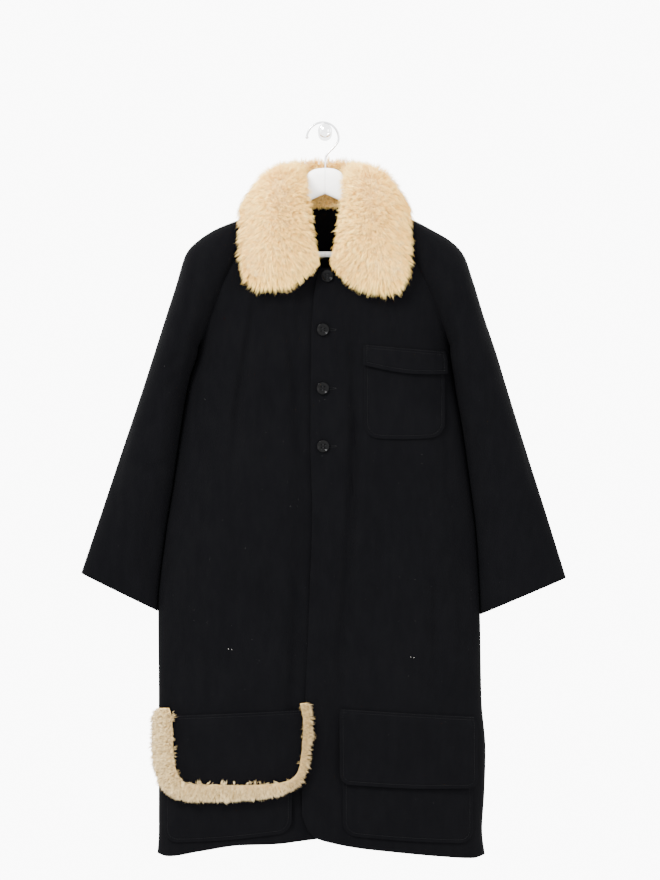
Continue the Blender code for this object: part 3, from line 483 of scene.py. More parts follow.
def join_raglan(body_n, column, sleeve_n):
    """One shared mitre for both pieces, as long as the cosine of its lean needs."""
    shared = unit(body_n[:RAGLAN_ROWS, column] + sleeve_n[:RAGLAN_ROWS, -1])
    shared[0] = shared[1]
    sleeve_n[0] = sleeve_n[1]
    lean = np.sum(shared * sleeve_n[:RAGLAN_ROWS, -1], axis=1, keepdims=True)
    shared = shared / np.maximum(lean, STEEPEST_MITRE)
    body_n[:RAGLAN_ROWS, column] = shared
    sleeve_n[:RAGLAN_ROWS, -1] = shared
    body_n[RAGLAN_ROWS:, column] = flat_to_plane(body_n[RAGLAN_ROWS:, column])
    sleeve_n[RAGLAN_ROWS:, -1] = flat_to_plane(sleeve_n[RAGLAN_ROWS:, -1])


def open_seams(grid, columns):
    """Moves the sewn edges in by half a seam gap."""
    grid = grid.copy()
    for column in columns:
        inner = 1 if column == 0 else -2
        grid[:, column] += unit(grid[:, inner] - grid[:, column]) * SEAM / 2
    return grid


def from_edges(grid, columns):
    """Distance along each row from the nearest of the given edges."""
    steps = np.linalg.norm(np.diff(grid, axis=1), axis=2)
    there = np.concatenate([np.zeros((len(grid), 1)), np.cumsum(steps, axis=1)], axis=1)
    away = [there if column == 0 else there[:, -1:] - there for column in columns]
    return np.minimum.reduce(away)


def wall_mesh(outer, inner, bulge=0.7):
    """Two grids of one size closed into a sheet. A third line halfway through it rounds its cut edge."""
    rows, columns = outer.shape[:2]
    count = rows * columns
    index = np.arange(count).reshape(rows, columns)
    a, b, c, d = index[:-1, :-1], index[:-1, 1:], index[1:, 1:], index[1:, :-1]
    face = np.stack([a, b, c, d], 2).reshape(-1, 4)
    loop = np.concatenate([index[0, :-1], index[:-1, -1], index[-1, :0:-1], index[:0:-1, 0]])
    inside = np.concatenate([index[1, :-1], index[:-1, -2], index[-2, :0:-1], index[:0:-1, 1]])
    flat_out, flat_in = outer.reshape(-1, 3), inner.reshape(-1, 3)
    middle = (flat_out[loop] + flat_in[loop]) / 2
    middle = middle + unit(flat_out[loop] - flat_out[inside]) * bulge
    points = np.concatenate([flat_out, flat_in, middle])
    after = np.roll(loop, -1)
    rim = np.arange(len(loop)) + 2 * count
    rim_after = np.roll(rim, -1)
    upper = np.stack([after, loop, rim, rim_after], 1)
    lower = np.stack([rim_after, rim, loop + count, after + count], 1)
    return points, np.concatenate([face, face[:, ::-1] + count, upper, lower])


# %% [markdown]
# ## From arrays to a mesh
#
# Blender keeps a mesh as flat lists: points, the corners of the faces and where each face starts. Numpy
# arrays are handed over whole with foreach_set, which is hundreds of times faster than adding faces one by
# one. The faces are turned outwards by the sign of the volume they close in.


# %% Mesh maker
TRIANGLES = {}


def volume(points, quads):
    """Six times the volume that the faces close in: the sum of the triple products of their triangles."""
    p = points[quads]
    total = np.einsum("ij,ij->i", p[:, 0], np.cross(p[:, 1], p[:, 2])).sum()
    if quads.shape[1] == 4:
        total += np.einsum("ij,ij->i", p[:, 0], np.cross(p[:, 2], p[:, 3])).sum()
    return total


def make_piece(name, points, faces, material, stands_for=(), finish=None, marks=None, sharp=40):
    """A piece of the coat from points in millimetres. faces are one array, or several of 3 or 4 corners."""
    faces = faces if isinstance(faces, list) else [faces]
    if sum(volume(points, f) for f in faces) < 0:
        faces = [f[:, ::-1] for f in faces]
    corners = np.concatenate([f.ravel() for f in faces]).astype(np.int32)
    sizes = np.concatenate([np.full(len(f), f.shape[1]) for f in faces])
    starts = np.concatenate([[0], np.cumsum(sizes)[:-1]]).astype(np.int32)
    mesh = bpy.data.meshes.new(name)
    mesh.vertices.add(len(points))
    mesh.vertices.foreach_set("co", (points * MM + HANGING_POINT).astype(np.float32).ravel())
    mesh.loops.add(len(corners))
    mesh.loops.foreach_set("vertex_index", corners)
    mesh.polygons.add(len(starts))
    mesh.polygons.foreach_set("loop_start", starts)
    mesh.update(calc_edges=True)
    mesh.validate()
    mesh.shade_smooth()
    if sharp:
        mesh.set_sharp_from_angle(angle=math.radians(sharp))
    for mark, values in (marks or {}).items():
        attribute = mesh.attributes.new(mark, "FLOAT", "POINT")
        attribute.data.foreach_set("value", np.asarray(values, np.float32))
    mesh.materials.append(material)
    piece = bpy.data.objects.new(name, mesh)
    bpy.context.scene.collection.objects.link(piece)
    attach(piece, "root")
    if stands_for:
        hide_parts(*stands_for)
    TRIANGLES[name] = int((sizes - 2).sum())
    return piece


def closed_rings(count, around):
    """Faces of rings joined in order, closed all round."""
    index = np.arange(count * around).reshape(count, around)
    beside = np.roll(index, -1, axis=1)
    return np.stack([index[:-1], index[1:], beside[1:], beside[:-1]], 2).reshape(-1, 4)


def closed_tube(name, rings, material, node, finish, sharp=50):
    """Rings joined in order, with each end closed round a hub in its middle."""
    count, around = rings.shape[:2]
    hub = count * around
    first = np.arange(around)
    last = first + hub - around
    low = np.stack([first, np.roll(first, -1), np.full(around, hub)], 1)
    high = np.stack([np.roll(last, -1), last, np.full(around, hub + 1)], 1)
    points = np.concatenate([rings.reshape(-1, 3), rings[0].mean(0)[None], rings[-1].mean(0)[None]])
    faces = [closed_rings(count, around), low, high]
    return make_piece(name, points, faces, material, [node], finish, sharp=sharp)


# %% [markdown]
# ## Shader sums
#
# A Blender material is a graph of nodes. Written out node by node it is hard to read, so a small class wraps
# one socket and turns + - * / into Math nodes, and one method makes every other node.


# %% Shader helpers
class Value:
    """A number that varies over a surface: a socket on which sums can be written."""

    def __init__(self, finish, socket):
        self.finish = finish
        self.socket = socket

    def sum(self, operation, first, second):
        return self.finish.node("ShaderNodeMath", {"operation": operation}, first, second)

    def __add__(self, other):
        return self.sum("ADD", self, other)

    def __rsub__(self, other):
        return self.sum("SUBTRACT", other, self)

    def __mul__(self, other):
        return self.sum("MULTIPLY", self, other)

    __radd__ = __add__
    __rmul__ = __mul__


def fill(socket, value):
    """Sets a socket's own value. A colour of three parts gets the fourth, which is how solid it is."""
    socket.default_value = (*value, 1.0) if socket.type == "RGBA" else value


class Finish:
    """A material with its Principled shader, whose constants are set by name."""

    def __init__(self, name, **constants):
        self.material = bpy.data.materials.new(name)
        self.material.use_nodes = True
        self.tree = self.material.node_tree
        self.shader = self.tree.nodes["Principled BSDF"]
        for key, value in constants.items():
            fill(self.shader.inputs[key.replace("_", " ")], value)

    def node(self, kind, settings, *inputs, out=0, **named):
        """A node of that kind: its settings, then its sockets in order or by name. None leaves one alone."""
        made = self.tree.nodes.new(kind)
        for key, value in settings.items():
            setattr(made, key, value)
        pairs = list(enumerate(inputs)) + [(key.replace("_", " "), value) for key, value in named.items()]
        for key, value in pairs:
            if isinstance(value, Value):
                self.tree.links.new(value.socket, made.inputs[key])
            elif value is not None:
                fill(made.inputs[key], value)
        return Value(self, made.outputs[out])

    def place(self):
        """The point in the piece's own axes, in metres."""
        return self.node("ShaderNodeTexCoord", {}, out=3)

    def mark(self, name):
        """A number that the mesh carries at each of its points."""
        return self.node("ShaderNodeAttribute", {"attribute_name": name}, out=2)

    def noise(self, scale, detail=3.0, rough=0.6, stretch=None):
        """Cloudy noise of that many blotches a metre, from 0 to 1, stretched along the axes if asked."""
        where = self.place()
        if stretch is not None:
            where = self.node("ShaderNodeMapping", {}, Vector=where, Scale=stretch)
        return self.node("ShaderNodeTexNoise", {}, Vector=where, Scale=scale, Detail=detail, Roughness=rough)

    def blend(self, share, first, second):
        """Mixes two colours, which are the sixth and seventh sockets of a Mix node."""
        return self.node("ShaderNodeMix", {"data_type": "RGBA"}, share, *[None] * 5, first, second, out=2)

    def ramp(self, value, *stops):
        """Colours at their places from 0 to 1, blended in between."""
        made = self.node("ShaderNodeValToRGB", {}, value)
        elements = made.socket.node.color_ramp.elements
        while len(elements) < len(stops):
            elements.new(0.5)
        for element, (place, colour) in zip(elements, stops):
            element.position = place
            element.color = (*colour, 1.0)
        return made

    def step(self, value, low, high):
        """0 below low, 1 above high and a soft step between."""
        soft = {"interpolation_type": "SMOOTHSTEP"}
        return self.node("ShaderNodeMapRange", soft, value, low, high, 0.0, 1.0)

    def bump(self, height, distance, strength=1.0):
        """Normals tilted as if the surface were that many metres high where height is 1."""
        return self.node("ShaderNodeBump", {}, Strength=strength, Distance=distance, Height=height)

    def wear(self, **sockets):
        """Feeds the shader's varying sockets, and hands over the material."""
        for key, value in sockets.items():
            self.tree.links.new(value.socket, self.shader.inputs[key.replace("_", " ")])
        return self.material


# %% [markdown]
# ## The wool
#
# Felted wool takes almost all the light. It isn't one flat black: the nap is brushed here and there, so it
# goes from a deep black to a very dark grey in soft clouds, with single paler fibres and specks of lint. The
# bump is in three sizes: fibres under a millimetre, the felt's grain, and the slight pebbling of pressed
# cloth.


# %% Wool
def make_wool(name, dark, light):
    """Clouds, brushing and grain make a tone between dark and light. Pale specks of lint lie on it."""
    finish = Finish(name, Roughness=0.95, Specular_IOR_Level=0.03)
    clouds = finish.noise(9.0, 4.0, 0.6)
    brushed = finish.noise(70.0, 3.0, 0.6, (1.0, 1.0, 0.35))
    grain = finish.noise(900.0, 2.0, 0.7)
    fibres = finish.noise(1500.0, 1.0, 0.5, (1.0, 1.0, 0.3))
    tone = clouds * 0.3 + brushed * 0.35 + grain * 0.35
    cloth = finish.blend(finish.step(tone, 0.34, 0.66), dark, light)
    lint = finish.step(finish.noise(420.0, 1.0, 0.4), 0.80, 0.86)
    pale = finish.step(finish.noise(26.0, 2.0, 0.5), 0.42, 0.62)
    colour = finish.blend(lint * pale * 0.55, cloth, (0.045, 0.043, 0.042))
    height = grain * 0.5 + fibres * 0.25 + brushed * 0.6
    return finish.wear(
        Base_Color=colour, Roughness=0.9 + grain * 0.1, Normal=finish.bump(height, 0.0007, 0.6)
    )


WOOL_CLOTH = make_wool("black_felted_wool", (0.0007, 0.0007, 0.0010), (0.0012, 0.0012, 0.0015))

# %% [markdown]
# ## The coat's cloth pieces
#
# Two fronts, a back and four sleeve halves. Each is pressed in by its creases along its own normals, and
# then given its wall. The creases fade out at the sewn edges so that the seams still meet.


# %% Cloth pieces
DEEPER = 1.5
CREASE_FADE = 22.0
SEAM_FADE = 2.5
CUT_AREA = {}


def press(grid, n, tab, sewn, seed, mirror=1.0):
    """Moves a panel in along its normals: by its creases, DEEPER than in their tables, and by ripples. Both
    fade away at its sewn edges, where the cloth dips like a bell instead."""
    x, drop = grid[..., 0] * mirror, -grid[..., 2]
    away = from_edges(grid, sewn)
    inward = (creases(tab, x, drop) * DEEPER + ripple(x, drop, 0.35, seed)) * ease(away / CREASE_FADE)
    dip = SEAM_DIP * np.exp(-((away / SEAM_WIDTH) ** 2)) * ease(away / SEAM_FADE)
    return grid - n * (inward + dip)[..., None]


def cell_areas(grid):
    """The area of each cell, as the cross product of two of its sides."""
    down, along = np.diff(grid, axis=0)[:, :-1], np.diff(grid, axis=1)[:-1]
    return np.linalg.norm(np.cross(down, along), axis=2)


def cut_size(grid):
    """What was cut: the piece's area, and the width and length of the rectangle of cloth that it needs."""
    area = cell_areas(grid).sum() * MM * MM
    width = np.linalg.norm(np.diff(grid, axis=1), axis=2).sum(1).max() * MM
    length = np.linalg.norm(np.diff(grid, axis=0), axis=2).sum(0).max() * MM
    return area, (width, max(length, area / width))


def declare_cut(piece, grid, rests_on):
    """Records how big a piece was cut. Its argument rests_on, what it hangs on, is not used."""
    area, flat = cut_size(grid)
    CUT_AREA[piece.name] = area


def cloth_piece(name, node, grid, n, sewn):
    """Makes a panel's wall and declares its cut."""
    walls = [open_seams(face, sewn) for face in (grid, grid - n * WOOL)]
    piece = make_piece(name, *wall_mesh(*walls), WOOL_CLOTH, [node], "wool", sharp=60)
    declare_cut(piece, grid, "hanger_arms")


back_panel = back_grid()
back_n = facing(normals(back_panel), 1)
for side, sleeve, body_side, shift, hem, column, mirror, seed in (
    ("right", RIGHT_SLEEVE, "left", OVERLAP, hem_line(RIGHT_HEM)[::-1], 0, -1.0, 11),
    ("left", LEFT_SLEEVE, "right", 0.0, hem_line(LEFT_HEM), -1, 1.0, 23),
):
    front = front_grid(sleeve, body_side, shift, hem)
    fore, rear = sleeve_grid(sleeve, -1), sleeve_grid(sleeve, 1)
    front_n, fore_n = facing(normals(front), -1), facing(normals(fore), -1)
    rear_n = facing(normals(rear), 1)
    join_raglan(front_n, -1, fore_n)
    join_raglan(back_n, column, rear_n)
    for half_n in (fore_n, rear_n):
        half_n[:, 0] = flat_to_plane(half_n[:, 0])
    front = press(front, front_n, FRONT_CREASES, [-1], seed)
    cloth_piece(f"{side}_front_panel", f"{side}_front", front, front_n, [-1])
    for half, half_n, name, node in ((fore, fore_n, "fore", "front"), (rear, rear_n, "rear", "back")):
        seed += 1
        half = press(half, half_n, SLEEVE_CREASES, [0, -1], seed, mirror)
        cloth_piece(f"{side}_sleeve_{name}", f"{side}_sleeve_{node}", half, half_n, [0, -1])
back_panel = press(back_panel, back_n, BACK_CREASES, [0, -1], 31)
cloth_piece("back_panel", "back", back_panel, back_n, [0, -1])
print("cloth of the body and sleeves:", round(sum(CUT_AREA.values()), 2), "square metres")

# %% [markdown]
# ## Thread
#
# The topstitching is a row of short threads that dive into the cloth at both ends. Each is a thin spindle of
# four sides. All the stitches of a seam are one mesh, worked out as arrays: where each starts, which way it
# runs and which way is out of the cloth.


# %% Stitches
STITCH = 3.4
STITCH_GAP = 1.1
thread = Finish("black_thread", Base_Color=(0.0036, 0.0036, 0.004), Roughness=0.7, Specular_IOR_Level=0.12)
thread_twist = thread.noise(2600.0, 1.0, 0.5)
BLACK_THREAD = thread.wear(Roughness=0.6 + thread_twist * 0.2, Normal=thread.bump(thread_twist, 0.0002))


def spindles(start, end, out, radius):
    """A spindle for each stitch: its two ends and four points round its middle, lifted off the cloth."""
    way = unit(end - start)
    side = unit(np.cross(way, out))
    middle = (start + end) / 2 + out * radius * 0.8
    ring = [middle + out * radius, middle + side * radius, middle - out * radius, middle - side * radius]
    points = np.stack([start, end, *ring], 1)
    ends = np.array([[0, 2, 3], [0, 3, 4], [0, 4, 5], [0, 5, 2], [1, 3, 2], [1, 4, 3], [1, 5, 4], [1, 2, 5]])
    faces = ends[None] + 6 * np.arange(len(points))[:, None, None]
    return points.reshape(-1, 3), faces.reshape(-1, 3)


def along_line(line, out):
    """Starts and ends of the stitches along a line, with the way out of the cloth at each."""
    run = np.linalg.norm(np.diff(line, axis=0), axis=1).sum()
    count = max(int(run / (STITCH + STITCH_GAP)), 2)
    share = np.linspace(0, 1, count, endpoint=False)
    start = resample(line, share + STITCH_GAP / 2 / run)
    end = resample(line, share + (STITCH_GAP / 2 + STITCH) / run)
    return start, end, unit(resample(out, share))


def stitch_piece(name, groups, material=BLACK_THREAD, radius=0.38, finish="wool"):
    """One mesh of all the stitches of several lines."""
    start, end, out = (np.concatenate([g[k] for g in groups]) for k in range(3))
    points, faces = spindles(start, end, out, radius)
    print(name, len(start), "stitches")
    return make_piece(name, points, faces, material, finish=finish, sharp=0)


# %% [markdown]
# ## Pockets and flaps
#
# Four patch pieces lie on the fronts: a chest pocket with its flap and two big low pockets with theirs. Each
# is worked out as a plan with rounded lower corners, and lifted off the panel along the panel's own normals.
# A flap steps up over its pocket and swings out towards its free edge. The edges are stitched six
# millimetres in, and the cloth puffs up a little on either side of the stitching.

# %% Patches
PATCHES = {
    "chest_pocket": dict(left=68, right=209, tops=(408, 418), bottoms=(551, 550), radius=26, sag=3),
    "chest_flap": dict(left=67, right=211, tops=(388, 400), bottoms=(424, 440), radius=4, sag=6),
    "left_pocket": dict(left=31, right=258, tops=(1050, 1064), bottoms=(1245, 1261), radius=24, sag=2),
    "left_flap": dict(left=26, right=264, tops=(1024, 1039), bottoms=(1155, 1164), radius=17, sag=3),
    "right_pocket": dict(left=-280, right=-58, tops=(1063, 1052), bottoms=(1260, 1240), radius=24, sag=3),
    "right_flap": dict(left=-276, right=-33, tops=(1037, 1026), bottoms=(1174, 1168), radius=24, sag=2),
}
FLAP_RISE = PATCH + LAY
FLAP_STEP = 14.0
FLAP_SWING = 3.0
PATCH_ROWS = 52
PATCH_COLUMNS = 56
CORNER_ROWS = 15
LINE_POINTS = 260
TOP_LINE_POINTS = 80
STITCH_IN = 6.0
UPPER_ROW_IN = 1.6
GROOVE_DEPTH = 0.65
GROOVE_WIDTH = 1.8
EDGE_DROP = 0.5
EDGE_WIDTH = 1.4
SIDE_MARGIN = 4.0


def on_front(x, drop, out):
    """Points of the fronts' outer face, moved out along its normal, a little more where it turns to the side.
    Returns the points and the normals."""
    inside = np.clip(x, read(BODY, "left", drop) + SIDE_MARGIN, read(BODY, "right", drop) - SIDE_MARGIN)

    def depth(at_x, at_drop):
        return body_depth(at_x, at_drop, FRONT_FOLDS)

    slope_x = depth(inside + 0.5, drop) - depth(inside - 0.5, drop)
    slope_drop = depth(inside, drop + 0.5) - depth(inside, drop - 0.5)
    n = unit(np.stack([-slope_x, -np.ones_like(x), slope_drop], -1))
    base = np.stack([x, -depth(inside, drop), -drop], -1)
    spread = np.asarray(out) + TURNING_GAP * (1 + n[..., 1])
    return base + n * spread[..., None], n


def patch_edges(shape, x):
    """A patch's top and bottom edge at x, and its height in the mean."""
    place = np.clip((x - shape["left"]) / (shape["right"] - shape["left"]), 0, 1)
    top, bottom = (ends[0] + (ends[1] - ends[0]) * place for ends in (shape["tops"], shape["bottoms"]))
    height = sum(shape["bottoms"]) / 2 - sum(shape["tops"]) / 2
    return top, bottom + shape["sag"] * np.sin(math.pi * place), height


def patch_plan(shape):
    """Rows of a patch from its top edge down, drawn in round its lower corners by radius * (1 - cos)."""
    left, right, radius = shape["left"], shape["right"], shape["radius"]
    straight_end = patch_edges(shape, left)[2] - radius
    straight = crowded(PATCH_ROWS - CORNER_ROWS, 0.4, both_ends=False) * straight_end
    turn = np.linspace(0, math.pi / 2, CORNER_ROWS + 1)[1:]
    down = np.concatenate([straight, straight_end + radius * np.sin(turn)])
    draw_in = np.concatenate([np.zeros(len(straight)), radius * (1 - np.cos(turn))])
    share = crowded(PATCH_COLUMNS, 0.6)[None]
    x = (left + draw_in)[:, None] * (1 - share) + (right - draw_in)[:, None] * share
    top, bottom, height = patch_edges(shape, x)
    return x, top + (bottom - top) * (down / height)[:, None]


def patch_lift(name, x, drop):
    """How far the underside of a patch stands off the panel at a point."""
    top, bottom, height = patch_edges(PATCHES[name], x)
    down = (drop - top) / (bottom - top) * height
    if not name.endswith("flap"):
        return np.full_like(x, LAY)
    return LAY + FLAP_RISE * ease((down - 2) / FLAP_STEP) + FLAP_SWING * np.clip(down / height, 0, 1) ** 2


def outline(x, drop, inset):
    """The patch's edge line moved in: down its left side, along the bottom and up the right side."""
    line = np.concatenate([
        np.stack([x[:-1, 0], drop[:-1, 0]], 1),
        np.stack([x[-1], drop[-1]], 1),
        np.stack([x[-2::-1, -1], drop[-2::-1, -1]], 1),
    ])
    line = resample(line, np.linspace(0, 1, LINE_POINTS))
    way = unit(np.gradient(line, axis=0))
    return line + np.stack([way[:, 1], -way[:, 0]], 1) * inset


def top_line(edge, below):
    """A straight line from one end of the edge line to the other, moved down."""
    return resample(edge[[0, -1]], np.linspace(0, 1, TOP_LINE_POINTS)) + np.array([0, below])


def sewn_line(name, line):
    """Stitches on a patch's outer face along a line of x and drop."""
    points, n = on_front(line[:, 0], line[:, 1], patch_lift(name, *line.T) + PATCH + 0.05)
    return along_line(points, n)


# %% [markdown]
# A patch isn't a flat board. Its stitching pulls a groove, its edge is rounded, and the cloth between is
# uneven.


# %% Relief and making of the patches
def puff(x, drop, name):
    """The outer face's relief, by how far the nearest edge is: a groove at the stitching, a round edge."""
    line = outline(x, drop, 0.0)
    spots = np.stack([x.ravel(), drop.ravel()], 1)
    away = np.sqrt(((spots[:, None] - line[None, ::3]) ** 2).sum(2).min(1)).reshape(x.shape)
    groove = GROOVE_DEPTH * np.exp(-(((away - STITCH_IN) / GROOVE_WIDTH) ** 2))
    edge = EDGE_DROP * np.exp(-((away / EDGE_WIDTH) ** 2))
    waves = ripple(x, drop, 0.3, len(name) + int(abs(x[0, 0])))
    return -groove - edge + (waves - creases(PATCH_CREASES, x, drop)) * ease(away / 10)


stitched = []
for name, shape in PATCHES.items():
    x, drop = patch_plan(shape)
    lift = patch_lift(name, x, drop)
    outer, n = on_front(x, drop, lift + PATCH + puff(x, drop, name))
    inner, n = on_front(x, drop, lift)
    piece = make_piece(name + "_cloth", *wall_mesh(outer, inner, 0.4), WOOL_CLOTH, [name], "wool", sharp=60)
    declare_cut(piece, outer, f"{'right' if 'right' in name else 'left'}_front_panel")
    edge = outline(x, drop, STITCH_IN)
    if name != "right_flap":
        stitched.append(sewn_line(name, edge))
    if name.endswith("flap"):
        stitched += [sewn_line(name, top_line(edge, below)) for below in (UPPER_ROW_IN, STITCH_IN)]
stitch_piece("pocket_stitches", stitched)
print("the whole cut of cloth:", round(sum(CUT_AREA.values()), 3), "square metres")

# %% [markdown]
# ## Buttonholes
#
# Each buttonhole is a slit in the left front, worked round with close thread. The button sits near its front
# end. The threads stand across the edge of a long thin oval, forty-four to a hole.

# %% Buttonholes
BUTTONS = table("x drop", (4.2, 268), (-3.5, 362), (-3.9, 464.5), (-3.3, 565.6))
HOLE_THREADS = 44
HOLE_AHEAD = 10.5
HALF_SLIT = 12.0
HALF_WIDTH = 1.0
THREAD_REACH = 1.5


def oval(x, drop, wider):
    """Points on the cloth round a slit beside the button at x and drop."""
    turn = once_round(HOLE_THREADS)
    x = x + HOLE_AHEAD + (HALF_SLIT + wider) * np.cos(turn)
    return on_front(x, drop + (HALF_WIDTH + wider) * np.sin(turn), np.full(HOLE_THREADS, 0.15))


holes = []
for at in zip(*BUTTONS.values()):
    (start, n), (end, _) = oval(*at, 0.0), oval(*at, THREAD_REACH)
    holes.append((start, end, n))
stitch_piece("buttonholes", holes, radius=0.5)

# %% [markdown]
# ## Buttons
#
# A turned button of polished black plastic: a raised round rim, a shallow dish and four holes with thread
# through them. Its face is a height over a disc, as a function of the distance from the middle, with four
# pits pressed in.

# %% Buttons
BUTTON_RADIUS = 11.0
BUTTON_THICK = 3.6
HOLE_SPREAD = 2.6
PIT_RADIUS = 1.15
PIT_DEPTH = 1.5
FACE_RINGS = 34
UNDER_SHARES = (0.97, 0.86, 0.0)
UNDER_HEIGHTS = (0.3, 0.0, 0.0)
STRANDS = (-0.35, 0.0, 0.35)
STRAND_PAST_HOLE = 0.4
BLACK = (0.0006, 0.0006, 0.0007)
plastic = Finish("polished_black_plastic", Base_Color=BLACK, Roughness=0.12, Specular_IOR_Level=0.055)
rubbed = plastic.noise(600.0, 3.0, 0.6)
BUTTON_PLASTIC = plastic.wear(Roughness=0.07 + rubbed * 0.08, Normal=plastic.bump(rubbed, 0.00003, 0.4))
BUTTON_PROFILE = table(
    "share height",
    (0.0, 0.56), (0.45, 0.57), (0.62, 0.62), (0.72, 0.78), (0.80, 0.93), (0.87, 1.0), (0.93, 0.97),
    (0.975, 0.84), (1.0, 0.62),
)


def button_grid():
    """Rings from the middle out over the rim, and back in underneath: x, y, and height above the cloth."""
    even = np.linspace(0, 1, FACE_RINGS)
    share = np.sqrt(even) * 0.35 + even * 0.65
    radius = np.concatenate([share, UNDER_SHARES]) * BUTTON_RADIUS
    height = np.concatenate([read(BUTTON_PROFILE, "height", share, "share"), UNDER_HEIGHTS]) * BUTTON_THICK
    turn = once_round(64)
    x, y = radius[:, None] * np.cos(turn), radius[:, None] * np.sin(turn)
    from_hole = (abs(x) - HOLE_SPREAD) ** 2 + (abs(y) - HOLE_SPREAD) ** 2
    pits = np.exp(-((from_hole / PIT_RADIUS**2) ** 2))
    pits[FACE_RINGS:] = 0
    return x, y, height[:, None] - PIT_DEPTH * pits


def stand_on(place, n, x, y, height):
    """Carries points of a flat disc to a place on the cloth, with the disc's axis along the normal."""
    right = unit(np.cross(n, np.array([0.0, 0.0, 1.0])))
    right = right if right[0] > 0 else -right
    up = unit(np.cross(right, n))
    up = up if up[2] > 0 else -up
    return place + x[..., None] * right + y[..., None] * up + height[..., None] * n


button_thread = []
for number, (bx, bdrop) in enumerate(zip(BUTTONS["x"], BUTTONS["drop"]), 1):
    place, n = on_front(np.array([bx]), np.array([bdrop]), np.array([LAY]))
    x, y, height = button_grid()
    points = stand_on(place[0], n[0], x, y, height).reshape(-1, 3)
    stands_for = [f"button_{number}"]
    faces = closed_rings(*x.shape)
    make_piece(f"turned_button_{number}", points, faces, BUTTON_PLASTIC, stands_for, "button", sharp=50)
    ends = np.array([-1, 1]) * (HOLE_SPREAD + STRAND_PAST_HOLE)
    for hole in (-HOLE_SPREAD, HOLE_SPREAD):
        for nudge in STRANDS:
            pair = stand_on(place[0], n[0], ends, np.full(2, hole + nudge), np.full(2, 0.5 * BUTTON_THICK))
            button_thread.append((pair[:1], pair[1:], n))
stitch_piece("button_thread", button_thread, radius=0.42)

# %% [markdown]
# ## Loose thread ends
#
# Two pairs of pale tacks are left in the cloth above the low pockets, and a few pale hairs and bits of lint
# have settled on the black wool, as they always do.

# %% Tacks and hairs
pale = Finish("pale_thread", Base_Color=(0.42, 0.40, 0.37), Roughness=0.7)
pale_twist = pale.noise(1500.0, 1.0, 0.5)
PALE_THREAD = pale.wear(Base_Color=pale.blend(pale_twist, (0.16, 0.15, 0.14), (0.32, 0.30, 0.28)))
TACKS = table("x drop", (-169, 919), (-163.5, 920), (149, 933), (154.5, 934))
start, n = on_front(TACKS["x"], TACKS["drop"], np.full(4, 0.4))
end, _ = on_front(TACKS["x"] + 1.6, TACKS["drop"] + 1.4, np.full(4, 0.4))
stitch_piece("tacks", [(start, end, n)], PALE_THREAD, 0.6)

rng = np.random.default_rng(5)
LINT = 40
x = rng.uniform(-230, 215, LINT)
drop = rng.uniform(320, 1010, LINT)
turn = rng.uniform(0, math.pi, LINT)
size = rng.uniform(0.8, 4.5, LINT) * rng.uniform(0.4, 1, LINT)
start, n = on_front(x, drop, np.full(LINT, 0.9))
end, _ = on_front(x + size * np.cos(turn), drop + size * np.sin(turn), np.full(LINT, 1.0))
on_pocket = (x > 60) & (x < 218) & (drop > 380) & (drop < 560)
keep = (start[:, 1] < -30) & ~on_pocket
faint = Finish("pale_lint", Base_Color=(0.07, 0.067, 0.063), Roughness=0.8)
faint_tone = faint.noise(90.0, 1.0, 0.5)
PALE_LINT = faint.wear(Base_Color=faint.blend(faint_tone, (0.03, 0.028, 0.027), (0.12, 0.115, 0.11)))
stitch_piece("lint", [(start[keep], end[keep], n[keep])], PALE_LINT, 0.11)

# %% [markdown]
# ## Fur
#
# Fur is hair that stands on a skin. Here the skin of the collar is a surface of two parameters: round the
# neck, and over from the neckline up the stand, over the fold and down the fall. Hairs are rooted at random
# on it. Their tips gather into locks, because hair clings together, and at the free edges they comb
# outwards. Below the hairs lies a closed mat of underfur, so that no bare skin shows between them. Each hair
# is a thin spindle of three sides.

# %% Collar sizes
COLLAR = table(
    "s fold_x fold_y fold_drop bend_x bend_y bend_drop tip_x tip_y tip_drop",
    (0, 14, -60, 247, 70, -61, 278, 128, -53, 272), (1, 24, -68, 222, 88, -70, 240, 137, -52, 250),
    (2, 33, -67, 184, 92, -72, 204, 139, -48, 220), (3, 38, -60, 146, 90, -68, 160, 139, -42, 190),
    (4, 42, -42, 108, 88, -52, 114, 138, -30, 164), (5, 47, -8, 88, 90, -6, 101, 136, 2, 149),
    (6, 42, 22, 86, 84, 40, 104, 128, 34, 168), (7, 26, 34, 84, 52, 66, 97, 80, 60, 188),
    (8, 0, 36, 84, 0, 76, 97, 0, 66, 196),
)
PILE = table("spot height", (0, 4), (2, 11), (3, 13), (5, 17), (7, 23), (10, 22), (11, 15))
TIP_REACH = 12.0
LOBE_DROOP = 9.0
DROOP_START = 150.0
DROOP_RUN = 110.0
COLLAR_START = 12.0
COLLAR_FOOT = 5.5
COLLAR_GAP = 1.3
SKIN = 1.5
FRONT_STATIONS = 84
BACK_STATIONS = 56
SHOULDER = 5.0
MIDDLE_BACK = 8.0
STAND_END = 3.0
FALL_END = 11.0
SMOOTHINGS = 5


